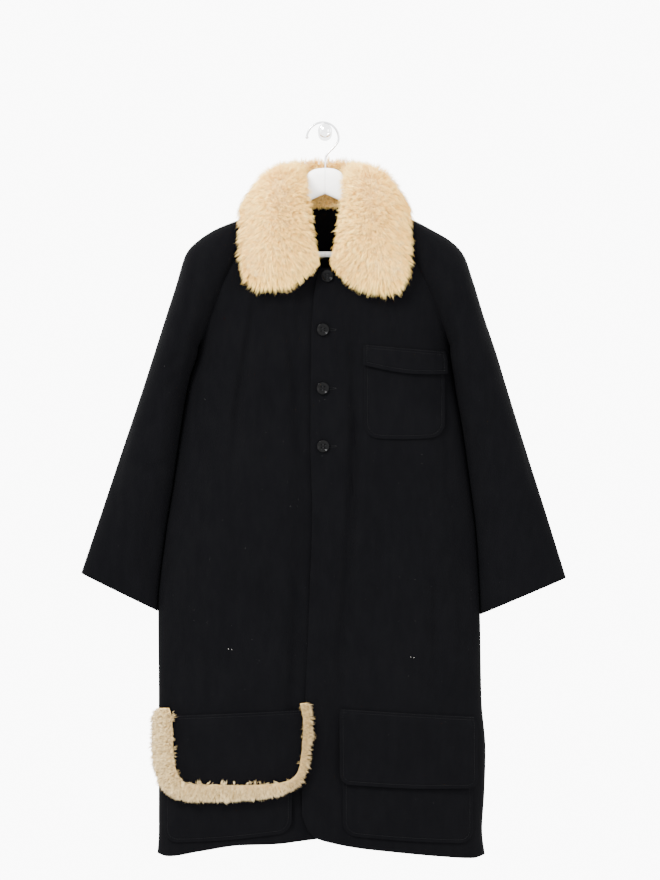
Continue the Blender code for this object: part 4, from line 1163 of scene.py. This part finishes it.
def neck_seam():
    """The neckline's outer edge from the front middle over the shoulder to the back middle, where x > 0."""
    end_x, end_drop = NECK_SIDE
    turn = np.linspace(math.asin(COLLAR_START / end_x), math.pi / 2, 40)
    x = end_x * np.sin(turn)
    drop = end_drop + (NECK_DROP - end_drop) * np.cos(turn)
    front = np.stack([x, -body_depth(x, drop), -drop], 1)
    shoulder_front = sleeve_grid(LEFT_SLEEVE, -1)[0, ::-1]
    shoulder_back = sleeve_grid(LEFT_SLEEVE, 1)[0]
    x = np.linspace(end_x, 0, 30)
    drop = BACK_NECK_DROP + BACK_NECK_DIP * (x / end_x) ** 2
    back = np.stack([x, body_depth(x, drop), -drop], 1)
    front = resample(np.concatenate([front[:-1], shoulder_front]), np.linspace(0, 1, FRONT_STATIONS))
    back = resample(np.concatenate([shoulder_back, back[1:]]), np.linspace(0, 1, BACK_STATIONS))
    return np.concatenate([front, back[1:]])


def collar_skin(spots):
    """The skin at the given spots: 0 to 3 up the stand, straight from the seam to the fold, then 3 to 11 down
    the fall, on a parabola through the bend. Returns the grid and the way into the neck at each station."""
    back_at = np.linspace(SHOULDER, MIDDLE_BACK, BACK_STATIONS)[1:]
    at = np.concatenate([np.linspace(0, SHOULDER, FRONT_STATIONS), back_at])
    fold, bend, tip = (
        np.stack([read(COLLAR, part + axis, at, "s") for axis in ("_x", "_y", "_drop")], 1)
        for part in ("fold", "bend", "tip")
    )
    seam = neck_seam()
    turn = np.clip(seam[:, 1] / 12, -1, 1)
    outward = np.stack([np.zeros_like(turn), turn, np.sqrt(1 - turn**2)], 1)
    off = unit(np.cross(outward, np.gradient(seam, axis=0)))
    inside = unit((0.4 * off - outward) * np.array([1, 1, 0]))
    seam = (seam + off * COLLAR_GAP) * np.array([1, 1, -1])
    control = 2 * bend - (fold + tip) / 2
    up = np.clip(spots / STAND_END, 0, 1)[None, :, None]
    s = np.clip((spots - STAND_END) / (FALL_END - STAND_END), 0, 1)[None, :, None]
    stand = seam[:, None] * (1 - up) + fold[:, None] * up
    fall = fold[:, None] * (1 - s) ** 2 + control[:, None] * 2 * s * (1 - s) + tip[:, None] * s * s
    half = np.where(spots[None, :, None] < STAND_END, stand, fall)
    left, right = half.copy(), half.copy()
    left[..., 0] *= -1
    droop = ease((half[..., 2] - DROOP_START) / DROOP_RUN) * (spots / FALL_END)[None]
    right[..., 2] += LOBE_DROOP * droop
    whole = np.concatenate([left, right[-2::-1]])
    whole[..., 2] *= -1
    return whole, np.concatenate([inside * np.array([-1, 1, 1]), inside[-2::-1]])


# %% [markdown]
# The skin's stations are twice as many as a tailor would mark, so that the hairs' roots follow it closely.
# Its normals point out of the fur side, which is the inside of the stand and the outside of the fall.

# %% Collar skin
SPOTS = np.concatenate([np.linspace(0, STAND_END, 13)[:-1], np.linspace(STAND_END, FALL_END, 41)])
skin, foot = collar_skin(SPOTS)
skin_n = normals(skin)
if skin_n[len(skin_n) // 2, -3, 1] < 0:
    skin_n = -skin_n
soft_n = skin_n.copy()
for _ in range(SMOOTHINGS):
    soft_n[:, 1:-1] = unit(soft_n[:, :-2] + 2 * soft_n[:, 1:-1] + soft_n[:, 2:])
pile = read(PILE, "height", SPOTS, "spot")
stations = len(skin)
end_fade = ease((np.arange(stations) + 4) / 12) * ease((stations + 3 - np.arange(stations)) / 12)
print("collar skin:", skin.shape[0], "stations of", skin.shape[1], "spots")

# %% [markdown]
# A lock is a gathering point: every hair goes to its nearest one, and its tip is drawn part of the way
# there. The locks are uneven in height, lean and tone, which is what makes fur look like fur and not like a
# brush.


# %% Hair maker
HAIR_POINTS = 5


def scatter(grid, count, rng, weight=None):
    """Random places on a grid, as many in each cell as its area asks for, as fractional row and column."""
    area = cell_areas(grid)
    if weight is not None:
        area = area * weight[:-1, :-1]
    chance = np.cumsum(area.ravel())
    cell = np.searchsorted(chance, rng.uniform(0, chance[-1], count))
    cell = np.minimum(cell, area.size - 1)
    return cell // area.shape[1] + rng.uniform(0, 1, count), cell % area.shape[1] + rng.uniform(0, 1, count)


def pick(grid, row, column):
    """Bilinear values of a grid at fractional rows and columns."""
    r = np.minimum(row.astype(int), grid.shape[0] - 2)
    c = np.minimum(column.astype(int), grid.shape[1] - 2)
    u, v = row - r, column - c
    if grid.ndim == 3:
        u, v = u[:, None], v[:, None]
    upper = grid[r, c] * (1 - v) + grid[r, c + 1] * v
    lower = grid[r + 1, c] * (1 - v) + grid[r + 1, c + 1] * v
    return upper * (1 - u) + lower * u


def nearest(points, centres):
    """For each point the number of its nearest centre, worked out a few thousand points at a time."""
    found = np.empty(len(points), int)
    squares = (centres**2).sum(1)
    for first in range(0, len(points), 4000):
        part = points[first:first + 4000]
        found[first:first + 4000] = (squares[None] - 2 * part @ centres.T).argmin(1)
    return found


def hair_mesh(root, tip, lift, radius):
    """Hairs of three sides: a point at the root, a triangle halfway, moved by lift, a point at the tip."""
    way = unit(tip - root)
    side = unit(np.cross(way, np.array([0.31, 0.52, 0.79])))
    other = np.cross(way, side)
    middle = (root + tip) / 2 + lift
    around = [2 * math.pi * k / 3 for k in range(3)]
    belly = [middle + radius[:, None] * (math.cos(a) * side + math.sin(a) * other) for a in around]
    points = np.stack([root, *belly, tip], 1)
    tri = np.array([[0, 2, 1], [0, 3, 2], [0, 1, 3], [4, 1, 2], [4, 2, 3], [4, 3, 1]])
    base = HAIR_POINTS * np.arange(len(points))[:, None, None]
    along = np.tile([0.0, 0.5, 0.5, 0.5, 1.0], len(points))
    return points.reshape(-1, 3), (tri + base).reshape(-1, 3), along


def fur_finish(name, deep, body, bright):
    """Hair colour from a dark root, which is painted shade, to a light tip, shifted by each lock's tone."""
    finish = Finish(name, Roughness=0.72, Specular_IOR_Level=0.25, Sheen_Weight=0.1, Sheen_Roughness=0.5)
    along, tone = finish.mark("along"), finish.mark("tone")
    shift = along * 0.55 + tone * 0.45
    # The deep colour at the roots is painted shade down in the pile, between the hairs.
    hair_with_painted_shade = finish.ramp(shift, (0.1, deep), (0.5, body), (0.92, bright))
    warm = finish.noise(16.0, 3.0, 0.6)
    hair_with_painted_shade = finish.blend(finish.step(warm, 0.5, 0.75) * 0.35, hair_with_painted_shade, body)
    return finish.wear(Base_Color=hair_with_painted_shade, Roughness=0.8 - along * 0.2)


# The first colour of each fur is its painted shade at the hair roots.
COLLAR_HAIR = fur_finish("cream_fur", (0.44, 0.20, 0.03), (0.98, 0.61, 0.13), (0.99, 0.76, 0.26))
TRIM_HAIR = fur_finish("sheared_fur", (0.12, 0.07, 0.02), (0.48, 0.33, 0.13), (0.74, 0.57, 0.30))
mat = Finish("underfur", Base_Color=(0.7, 0.52, 0.33), Roughness=0.9)
down_wool = mat.noise(260.0, 4.0, 0.7)
UNDERFUR = mat.wear(
    Base_Color=mat.blend(mat.step(down_wool, 0.3, 0.7), (0.40, 0.23, 0.07), (0.76, 0.52, 0.18)),
    Normal=mat.bump(down_wool, 0.004),
)

# %% [markdown]
# ## The collar's underfur
#
# The mat closes round the skin: out over the fur side at half of the pile's height, round the free edge and
# back along the bare side.

# %% Underfur of the collar
MAT_SHARE = 0.5
mat_height = pile[None] * MAT_SHARE * end_fade[:, None]
u, v = np.meshgrid(np.arange(stations), SPOTS, indexing="ij")
lumps = np.sin(u * 0.61 + 2.1 * np.sin(v * 1.3)) * np.sin(v * 2.9 + 1.7 * np.sin(u * 0.23)) * 1.4
fur_side = skin + soft_n * (mat_height + lumps * ease(v / 4) * end_fade[:, None])[..., None]
fur_side[:, 0] = skin[:, 0] + foot * COLLAR_FOOT * 0.7
outward = unit(skin[:, -1] - skin[:, -2])
rim = (skin[:, -1] + outward * TIP_REACH * 0.55 + soft_n[:, -1] * 4)[:, None]
bare_side = skin - skin_n * SKIN
bare_side[:, 0] = skin[:, 0]
rings = np.concatenate([fur_side, rim, bare_side[:, ::-1]], axis=1)
closed_tube("collar_underfur", rings, UNDERFUR, "fur_collar", "fur", sharp=0)

# %% [markdown]
# ## The collar's hairs
#
# Three lots of hair share the collar's area: the right lobe, the back and the left lobe. Fur on a
# stuffed-looking lobe parts in its middle. From there the hairs lie outwards: towards the fold, towards the
# free edge and down towards the lobe's end. That comb is a direction on the skin, added to the normal that
# the hair stands along.

# %% Hairs of the collar
HAIR = table("spot length", (0, 10), (1.5, 14), (3, 20), (4.5, 25), (7, 29), (10, 26), (11, 20))
PARTING = 6.8
END_RUN = 30.0
CORNER_RUN = 14.0
THIN_BELOW = 2.2
THINNED = 0.55
STRAYS = 0.14
GATHER = 0.62
LOCKS = 11000
HAIRS = 29400
HAIR_RADII = (0.17, 0.31)
BOW = 0.17
rng = np.random.default_rng(2)
lock_row, lock_column = scatter(skin, LOCKS, rng)
lock_root = pick(skin, lock_row, lock_column)
lock_high = rng.uniform(0.78, 1.1, LOCKS)
lock_lean = rng.normal(0, 0.22, (LOCKS, 3))
lock_tone = rng.uniform(0, 1, LOCKS)
row_area = cell_areas(skin).sum(1)
thirds = np.searchsorted(np.cumsum(row_area) / row_area.sum(), (1 / 3, 2 / 3))


def collar_hairs(name, first, last, count, rng):
    """The hairs rooted between two stations. Each runs along normal + comb. The comb is the way down the
    fall, turned round above the parting, plus the way to the collar's nearer end, fading out over END_RUN."""
    part = slice(first, last + 1)
    thin = np.where(SPOTS < THIN_BELOW, THINNED, 1.0)[None] * np.ones((last - first + 1, 1))
    row, column = scatter(skin[part], count, rng, thin)
    row = row + first
    root = pick(skin, row, column)
    n = unit(pick(soft_n, row, column))
    spot = np.interp(column, np.arange(len(SPOTS)), SPOTS)
    fall_way = unit(pick(np.gradient(skin, axis=1), row, column))
    round_way = unit(pick(np.gradient(skin, axis=0), row, column))
    from_end = np.minimum(row, stations - 1 - row)
    to_end = round_way * np.where(row < stations / 2, -1.0, 1.0)[:, None]
    lock = nearest(root, lock_root)
    down = np.interp(spot, [0, 2.5, 4, PARTING, 9, 11], [-0.9, 0, -0.8, 0.1, 1.4, 1.8])
    out = np.interp(from_end, [0, 8, END_RUN, END_RUN * 2], [2.2, 1.8, 0.6, 0.1]) * ease(spot / 3)
    comb = fall_way * down[:, None] + to_end * out[:, None]
    comb = comb + lock_lean[lock] * ease(spot / 3)[:, None]
    comb[:, 2] -= 0.12 + 0.6 * (1 - ease(spot / 2.5))
    near_end = np.interp(from_end, [0, CORNER_RUN], [1, 0])
    inner_corner = near_end * np.interp(spot, [STAND_END, 6.5], [1, 0])
    comb[:, 0] += np.sign(root[:, 0]) * 0.9 * inner_corner
    size = read(HAIR, "length", spot, "spot") * lock_high[lock] * rng.uniform(0.6, 1.12, count)
    size = size * np.interp(from_end, [0, 7], [0.82, 1.0]) * (1 - 0.5 * inner_corner)
    size = size * (1 + 0.35 * near_end * np.interp(spot, [8, FALL_END], [0, 1]))
    way = unit(n + comb + rng.normal(0, 0.10, (count, 3)))
    tip = root + way * size[:, None]
    centre = lock_root[lock] + way * size[:, None]
    stray = rng.uniform(0, 1, count) < STRAYS
    tip = tip + (centre - tip) * (GATHER * ease(spot / 3) * ~stray)[:, None]
    start = root + n * (0.15 * size)[:, None]
    lift = n * (BOW * size)[:, None] + rng.normal(0, 0.45, (count, 3))
    radius = rng.uniform(*HAIR_RADII, count)
    points, faces, along = hair_mesh(start, tip, lift, radius)
    tone = np.repeat(np.clip(lock_tone[lock] + rng.normal(0, 0.2, count), 0, 1), HAIR_POINTS)
    make_piece(name, points, faces, COLLAR_HAIR, finish="fur", marks={"along": along, "tone": tone}, sharp=0)
    print(name, count, "hairs, reaching", (points.min(0)).round(), "to", (points.max(0)).round())


borders = (0, *thirds, stations - 1)
for name, first, last in zip(("right", "back", "left"), borders, borders[1:]):
    collar_hairs(f"collar_fur_{name}", first, last, HAIRS, rng)

# %% [markdown]
# ## The fur strip on the flap
#
# The strip is sheared shorter and lies flatter. Its hairs are combed across it, from its inner edge towards
# the outside, apart from wisps that stand up along the inner edge.

# %% Fur strip
TRIM = table(
    "s x drop width rise",
    (0, -279, 1024, 26, 0.7), (1, -278, 1046, 36, 0.9), (2, -275, 1112, 37, 1.0), (3, -263, 1152, 37, 1.0),
    (4, -232, 1168, 32, 1.0), (5, -160, 1168, 30, 1.0), (6, -88, 1162, 24, 0.9), (7, -53, 1149, 19, 0.9),
    (8, -39, 1124, 18, 0.8), (9, -32, 1050, 19, 0.8), (10, -37, 1014, 20, 0.8),
)
TRIM_PILE = 17.0
TRIM_TOP = 1028.0
TRIM_DEPTH = 140.0
TRIM_GAP = 2.2
ROOT_IN = 8.0
TRIM_STATIONS = 150
TRIM_SIDES = 24
TRIM_HAIRS = 21000
TRIM_LOCKS = 3000
TRIM_LENGTH = 12.0
TRIM_RADII = (0.18, 0.32)


def trim_surface(stations, sides, high):
    """A half-round section carried along the flap's edge: its height is high times the sine of the turn. It
    is narrower than the fur by ROOT_IN, the room that the outer hairs take."""
    at = np.linspace(0, 10, stations)
    x, drop, width, rise = (read(TRIM, name, at, "s") for name in ("x", "drop", "width", "rise"))
    along = unit(np.gradient(np.stack([x, drop], 1), axis=0))
    turn = np.linspace(0, math.pi, sides + 1)
    reach = np.cos(turn)[None] * ((width - ROOT_IN) / 2)[:, None]
    height = np.sin(turn)[None] * (high * rise)[:, None]
    across_x = x[:, None] - reach * along[:, 1:]
    across_drop = drop[:, None] + reach * along[:, :1]
    below = across_drop - TRIM_TOP
    swing = FLAP_SWING * np.clip(below / TRIM_DEPTH, 0, 1) ** 2
    floor = LAY + PATCH + FLAP_RISE * ease(below / FLAP_STEP) + swing + TRIM_GAP
    return on_front(across_x, across_drop, floor + height)


strip, _ = trim_surface(TRIM_STATIONS, 12, TRIM_PILE * 0.4)
closed_tube("flap_underfur", strip, UNDERFUR, "right_flap_fur", "fur", sharp=0)

rng = np.random.default_rng(8)
wide, wide_n = trim_surface(TRIM_STATIONS, TRIM_SIDES, TRIM_PILE * 0.38)
row, column = scatter(wide, TRIM_HAIRS, rng)
root = pick(wide, row, column)
n = unit(pick(wide_n, row, column))
across = unit(pick(np.gradient(wide, axis=1), row, column))
outside = 1 - 2 * column / TRIM_SIDES
locks = rng.integers(0, TRIM_HAIRS, TRIM_LOCKS)
lock = nearest(root, root[locks])
lean = rng.normal(0, 0.2, (TRIM_LOCKS, 3))[lock]
inner = (ease((-outside - 0.4) / 0.5) * ease((-45 - root[:, 0]) / 40))[:, None]
way = n * (0.45 + 0.35 * inner) - across * (0.85 + 0.4 * outside)[:, None] * (1 - 1.5 * inner) + lean * inner
way = unit(way + lean + rng.normal(0, 0.12, (TRIM_HAIRS, 3)) - np.array([0, 0, 0.25]))
size = rng.uniform(0.7, 1.1, TRIM_HAIRS) * rng.uniform(0.7, 1.15, TRIM_LOCKS)[lock] * TRIM_LENGTH
size = size * np.interp(row, [0, 8, TRIM_STATIONS - 10, TRIM_STATIONS - 1], [0.8, 1, 1, 1.1])
size = size * (1 + 0.12 * np.sin(row * 0.47) * np.sin(row * 0.173 + 1.0))
tip = root + way * size[:, None]
tip = tip + (root[locks][lock] - root) * (0.45 - 0.2 * inner)
radius = rng.uniform(*TRIM_RADII, TRIM_HAIRS)
points, faces, along = hair_mesh(root - n, tip, n * (size * BOW)[:, None], radius)
tone = rng.uniform(0, 1, TRIM_LOCKS)[lock] + rng.normal(0, 0.15, TRIM_HAIRS)
tone = tone - 0.5 * ease((root[:, 0] + 75) / 30)
tone = np.repeat(np.clip(tone, 0, 1), HAIR_POINTS)
make_piece("flap_fur", points, faces, TRIM_HAIR, finish="fur", marks={"along": along, "tone": tone}, sharp=0)
print("flap_fur", TRIM_HAIRS, "hairs")

# %% [markdown]
# ## Hanger, hook and peg
#
# The hanger is moulded in white plastic: a bell-shaped middle that shows between the lobes of fur, arms that
# follow the shoulders, and a round bar. Its hook is bright wire that ends in a small ball. The peg is a
# plain bright round bar whose front edge is rounded.

# %% Hanger finishes
white = Finish("white_plastic", Base_Color=(0.86, 0.86, 0.85), Roughness=0.35)
mould = white.noise(180.0, 2.0, 0.5)
across_x = white.node("ShaderNodeSeparateXYZ", {}, white.place(), out=0)
parting = white.step(white.node("ShaderNodeMath", {"operation": "ABSOLUTE"}, across_x), 0.0004, 0.0011)
WHITE_PLASTIC = white.wear(
    Base_Color=white.blend(parting, (0.68, 0.68, 0.67), (0.93, 0.93, 0.92)),
    Roughness=0.3 + mould * 0.15, Normal=white.bump(mould, 0.0002, 0.4),
)
bright = Finish("bright_wire", Base_Color=(0.62, 0.62, 0.63), Metallic=1.0, Roughness=0.18)
drawn = bright.noise(1200.0, 2.0, 0.6, (1.0, 1.0, 0.1))
BRIGHT_WIRE = bright.wear(Roughness=0.12 + drawn * 0.16, Normal=bright.bump(drawn, 0.00004, 0.4))
turned = Finish("bright_peg", Base_Color=(0.80, 0.80, 0.80), Metallic=1.0, Roughness=0.14)
rings_cut = turned.noise(500.0, 2.0, 0.6)
BRIGHT_PEG = turned.wear(Roughness=0.08 + rings_cut * 0.14, Normal=turned.bump(rings_cut, 0.00004, 0.4))

# %% [markdown]
# Each of these is a ring of points carried along a path. The arm's ring changes along its way: it is tall at
# the neck, where the bell shape is read from a table, and low where it runs under the shoulder.

# %% Hanger, hook and peg
HANGER = table(
    "x top bottom thick",
    (0, 77, 123, 7), (14, 78.5, 129, 7), (27, 84, 135, 7), (36, 97, 139, 7), (46, 117, 144, 6.5),
    (62, 133, 152, 6), (80, 141.5, 160, 6),
)
ARM_SIDES = 28
ARM_HEIGHT = 19.0
ARM_GAP = 0.7
ARM_END = 208.0
LUG = 5.0
LUG_FACE = 0.5
BAR_DROP = 229.0
BAR_RADIUS = 5.0
WIRE_RADIUS = 1.9
STEM_FOOT = 77.5
HOOK_RADIUS = 28.0
HOOK_MIDDLE = (-4.0, 25.3)
HOOK_START = -14.0
HOOK_TURN = 172.0
STEM_TOP = 38.0
BALL_RADIUS = 2.9
PEG_RADIUS = 12.3
PEG_REACH = 105.0
PEG_NOSE = 19.0
PEG_GAP = 0.3
PEG_SIDES = 72
NOSE_ROUND = 4.0
GROOVE_IN = 0.5
GROOVE_RADII = (7.9, 7.5, 7.0, 6.6)


def tube(path, radii, sides, flat=(0.0, 1.0, 0.0)):
    """Rings round a path that stays in one plane."""
    path = np.array(path, float)
    way = unit(np.gradient(path, axis=0))
    side = np.broadcast_to(np.array(flat, float), path.shape)
    other = np.cross(way, side)
    turn = once_round(sides)[None, :, None]
    radii = np.broadcast_to(np.asarray(radii, float), (len(path),))[:, None, None]
    return path[:, None] + radii * (np.cos(turn) * side[:, None] + np.sin(turn) * other[:, None])


lug_x = ARM_END - LUG
far = np.concatenate([[ARM_END, ARM_END - 0.6, lug_x, lug_x - LUG_FACE], np.linspace(198, 0, 67)])
xs = np.concatenate([-far, far[-2::-1]])
across = abs(xs)
top, bottom, thick = (read(HANGER, name, across, "x") for name in ("top", "bottom", "thick"))
ridges = [sleeve_grid(tab, -1)[: RAGLAN_ROWS + 1, 0] for tab in (RIGHT_SLEEVE, LEFT_SLEEVE)]
under_cloth = [np.interp(across, abs(ridge[:, 0]), -ridge[:, 2]) for ridge in ridges]
carried = np.where(xs < 0, *under_cloth) + WOOL + ARM_GAP + 0.6
outside = across > HANGER["x"][-1]
top = np.where(outside, carried, top)
bottom = np.where(outside, carried + ARM_HEIGHT, bottom)
bottom = np.where(across >= lug_x, BAR_DROP + BAR_RADIUS, bottom)
turn = once_round(ARM_SIDES)
up = np.sign(np.sin(turn)) * abs(np.sin(turn)) ** 0.7
rings = np.stack([
    np.repeat(xs[:, None], ARM_SIDES, 1),
    thick[:, None] * np.cos(turn)[None] * np.where(across >= ARM_END - 0.1, 0.9, 1.0)[:, None],
    -(top + bottom)[:, None] / 2 + (bottom - top)[:, None] / 2 * up[None],
], 2)
closed_tube("moulded_arms", rings, WHITE_PLASTIC, "hanger_arms", "hanger")
half = ARM_END - LUG - LUG_FACE - SEAM
bar_path = [(x, 0.0, -BAR_DROP) for x in np.linspace(-half, half, 9)]
closed_tube("trouser_bar", tube(bar_path, BAR_RADIUS, 32), WHITE_PLASTIC, "hanger_bar", "hanger")

turns = np.radians(np.linspace(HOOK_START, HOOK_TURN, 70))
stem = table("x drop", (0.5, STEM_FOOT), (0.5, 68), (1, 58), (5, 51), (12, 44.5), (18.5, STEM_TOP))
stem_drop = np.linspace(STEM_FOOT, STEM_TOP, 26)[:-1]
stem_x = np.interp(stem_drop, stem["drop"][::-1], stem["x"][::-1])
arc_x = HOOK_MIDDLE[0] + HOOK_RADIUS * np.cos(turns)
arc_z = -HOOK_MIDDLE[1] + HOOK_RADIUS * np.sin(turns)
line = np.stack([np.concatenate([stem_x, arc_x]), np.concatenate([-stem_drop, arc_z])], 1)
for _ in range(3):
    line[1:-1] = (line[:-2] + 2 * line[1:-1] + line[2:]) / 4
path = [(x, 0.0, z) for x, z in line]
ball = np.linspace(0.5, 4.6, 9)
path += [(path[-1][0] + 0.1, 0.0, path[-1][2] - step) for step in ball]
ball_radii = BALL_RADIUS * np.sqrt(np.clip(1 - ((ball - 2.4) / 2.5) ** 2, 0.1, 1))
radii = np.concatenate([np.full(len(line), WIRE_RADIUS), ball_radii])
closed_tube("wire_hook", tube(path, radii, 16), BRIGHT_WIRE, "hanger_hook", "steel")

peg_drop = -PEG_RADIUS - PEG_GAP
nose = np.linspace(0, math.pi / 2, 9)
bar_y = [PEG_REACH, PEG_REACH - 1, 60, 20, NOSE_ROUND - PEG_NOSE]
ring_y = [-PEG_NOSE, GROOVE_IN - PEG_NOSE, GROOVE_IN - PEG_NOSE, -PEG_NOSE]
profile_y = np.concatenate([bar_y, NOSE_ROUND * (1 - np.sin(nose[1:])) - PEG_NOSE, ring_y])
round_r = PEG_RADIUS - NOSE_ROUND * (1 - np.cos(nose[1:]))
profile_r = np.concatenate([[PEG_RADIUS] * len(bar_y), round_r, GROOVE_RADII])
profile_r[0] -= 0.6
turn = once_round(PEG_SIDES)
rings = np.stack([
    profile_r[:, None] * np.cos(turn)[None],
    np.repeat(profile_y[:, None], PEG_SIDES, 1),
    peg_drop + profile_r[:, None] * np.sin(turn)[None],
], 2)
closed_tube("round_peg", rings, BRIGHT_PEG, "wall_peg", "peg", sharp=60)
print("added", sum(TRIANGLES.values()), "triangles; the most in one piece:", max(TRIANGLES.values()))

# %% [markdown]
# ## Light, floor and camera
#
# The coat is lit as in a bright studio: an even white surround, a wide soft light from the upper left and a
# weaker one from the right. The surround has two strengths, mixed by the Light Path node: the camera sees it
# nearly pure white, and the coat is lit by a gentler one that leaves black cloth black. The camera stands
# far off with a long lens, level with the coat's middle.

# %% Studio
SURROUND_LIGHT = 5.0
SURROUND_SEEN = 10.0
FLOOR_RADIUS = 3.0
FLOOR_Z = -1.75
world = bpy.data.worlds.new("white_surround")
bpy.context.scene.world = world
world.use_nodes = True
tree = world.node_tree
lit, seen = tree.nodes["Background"], tree.nodes.new("ShaderNodeBackground")
for background, strength in ((lit, SURROUND_LIGHT), (seen, SURROUND_SEEN)):
    background.inputs["Color"].default_value = (1.0, 1.0, 1.0, 1.0)
    background.inputs["Strength"].default_value = strength
either = tree.nodes.new("ShaderNodeMixShader")
tree.links.new(tree.nodes.new("ShaderNodeLightPath").outputs["Is Camera Ray"], either.inputs[0])
tree.links.new(lit.outputs[0], either.inputs[1])
tree.links.new(seen.outputs[0], either.inputs[2])
tree.links.new(either.outputs[0], tree.nodes["World Output"].inputs["Surface"])


def soft_light(name, place, aim, width, watts):
    """A square area light that looks at a point."""
    lamp = bpy.data.lights.new(name, "AREA")
    lamp.size = width
    lamp.energy = watts
    holder = bpy.data.objects.new(name, lamp)
    way = np.array(aim) - np.array(place)
    holder.location = place
    flat = math.hypot(way[0], way[1])
    holder.rotation_euler = (math.atan2(flat, -way[2]), 0.0, math.atan2(way[1], way[0]) - math.pi / 2)
    bpy.context.scene.collection.objects.link(holder)


soft_light("upper_left", (-1.8, -2.6, 1.9), (0, 0, -0.45), 0.9, 400)
soft_light("right_fill", (2.8, -2.6, 0.2), (0, 0, -0.5), 1.8, 60)

floor_points = [(FLOOR_RADIUS * math.cos(a), FLOOR_RADIUS * math.sin(a), FLOOR_Z) for a in once_round(64)]
floor_mesh = bpy.data.meshes.new("floor")
floor_mesh.from_pydata(floor_points, [], [list(range(64))])
floor_mesh.materials.append(Finish("pale_floor", Base_Color=(0.82, 0.82, 0.81), Roughness=0.6).material)
floor = bpy.data.objects.new("floor", floor_mesh)
bpy.context.scene.collection.objects.link(floor)

LENS = 250.0
SENSOR = 36.0
FRAME_HIGH = 1.54
FRAME_MIDDLE = np.array([8.75, -30.0, -554.75])
camera = bpy.data.cameras.new("camera")
camera.lens = LENS
camera.sensor_width = SENSOR
camera.clip_end = 60.0
camera_holder = bpy.data.objects.new("camera", camera)
away = FRAME_HIGH * LENS / SENSOR
camera_holder.location = HANGING_POINT + FRAME_MIDDLE * MM - np.array([0.0, away, 0.0])
camera_holder.rotation_euler = (math.pi / 2, 0.0, 0.0)
bpy.context.scene.collection.objects.link(camera_holder)
bpy.context.scene.camera = camera_holder
print("the camera stands", round(away, 2), "m off")
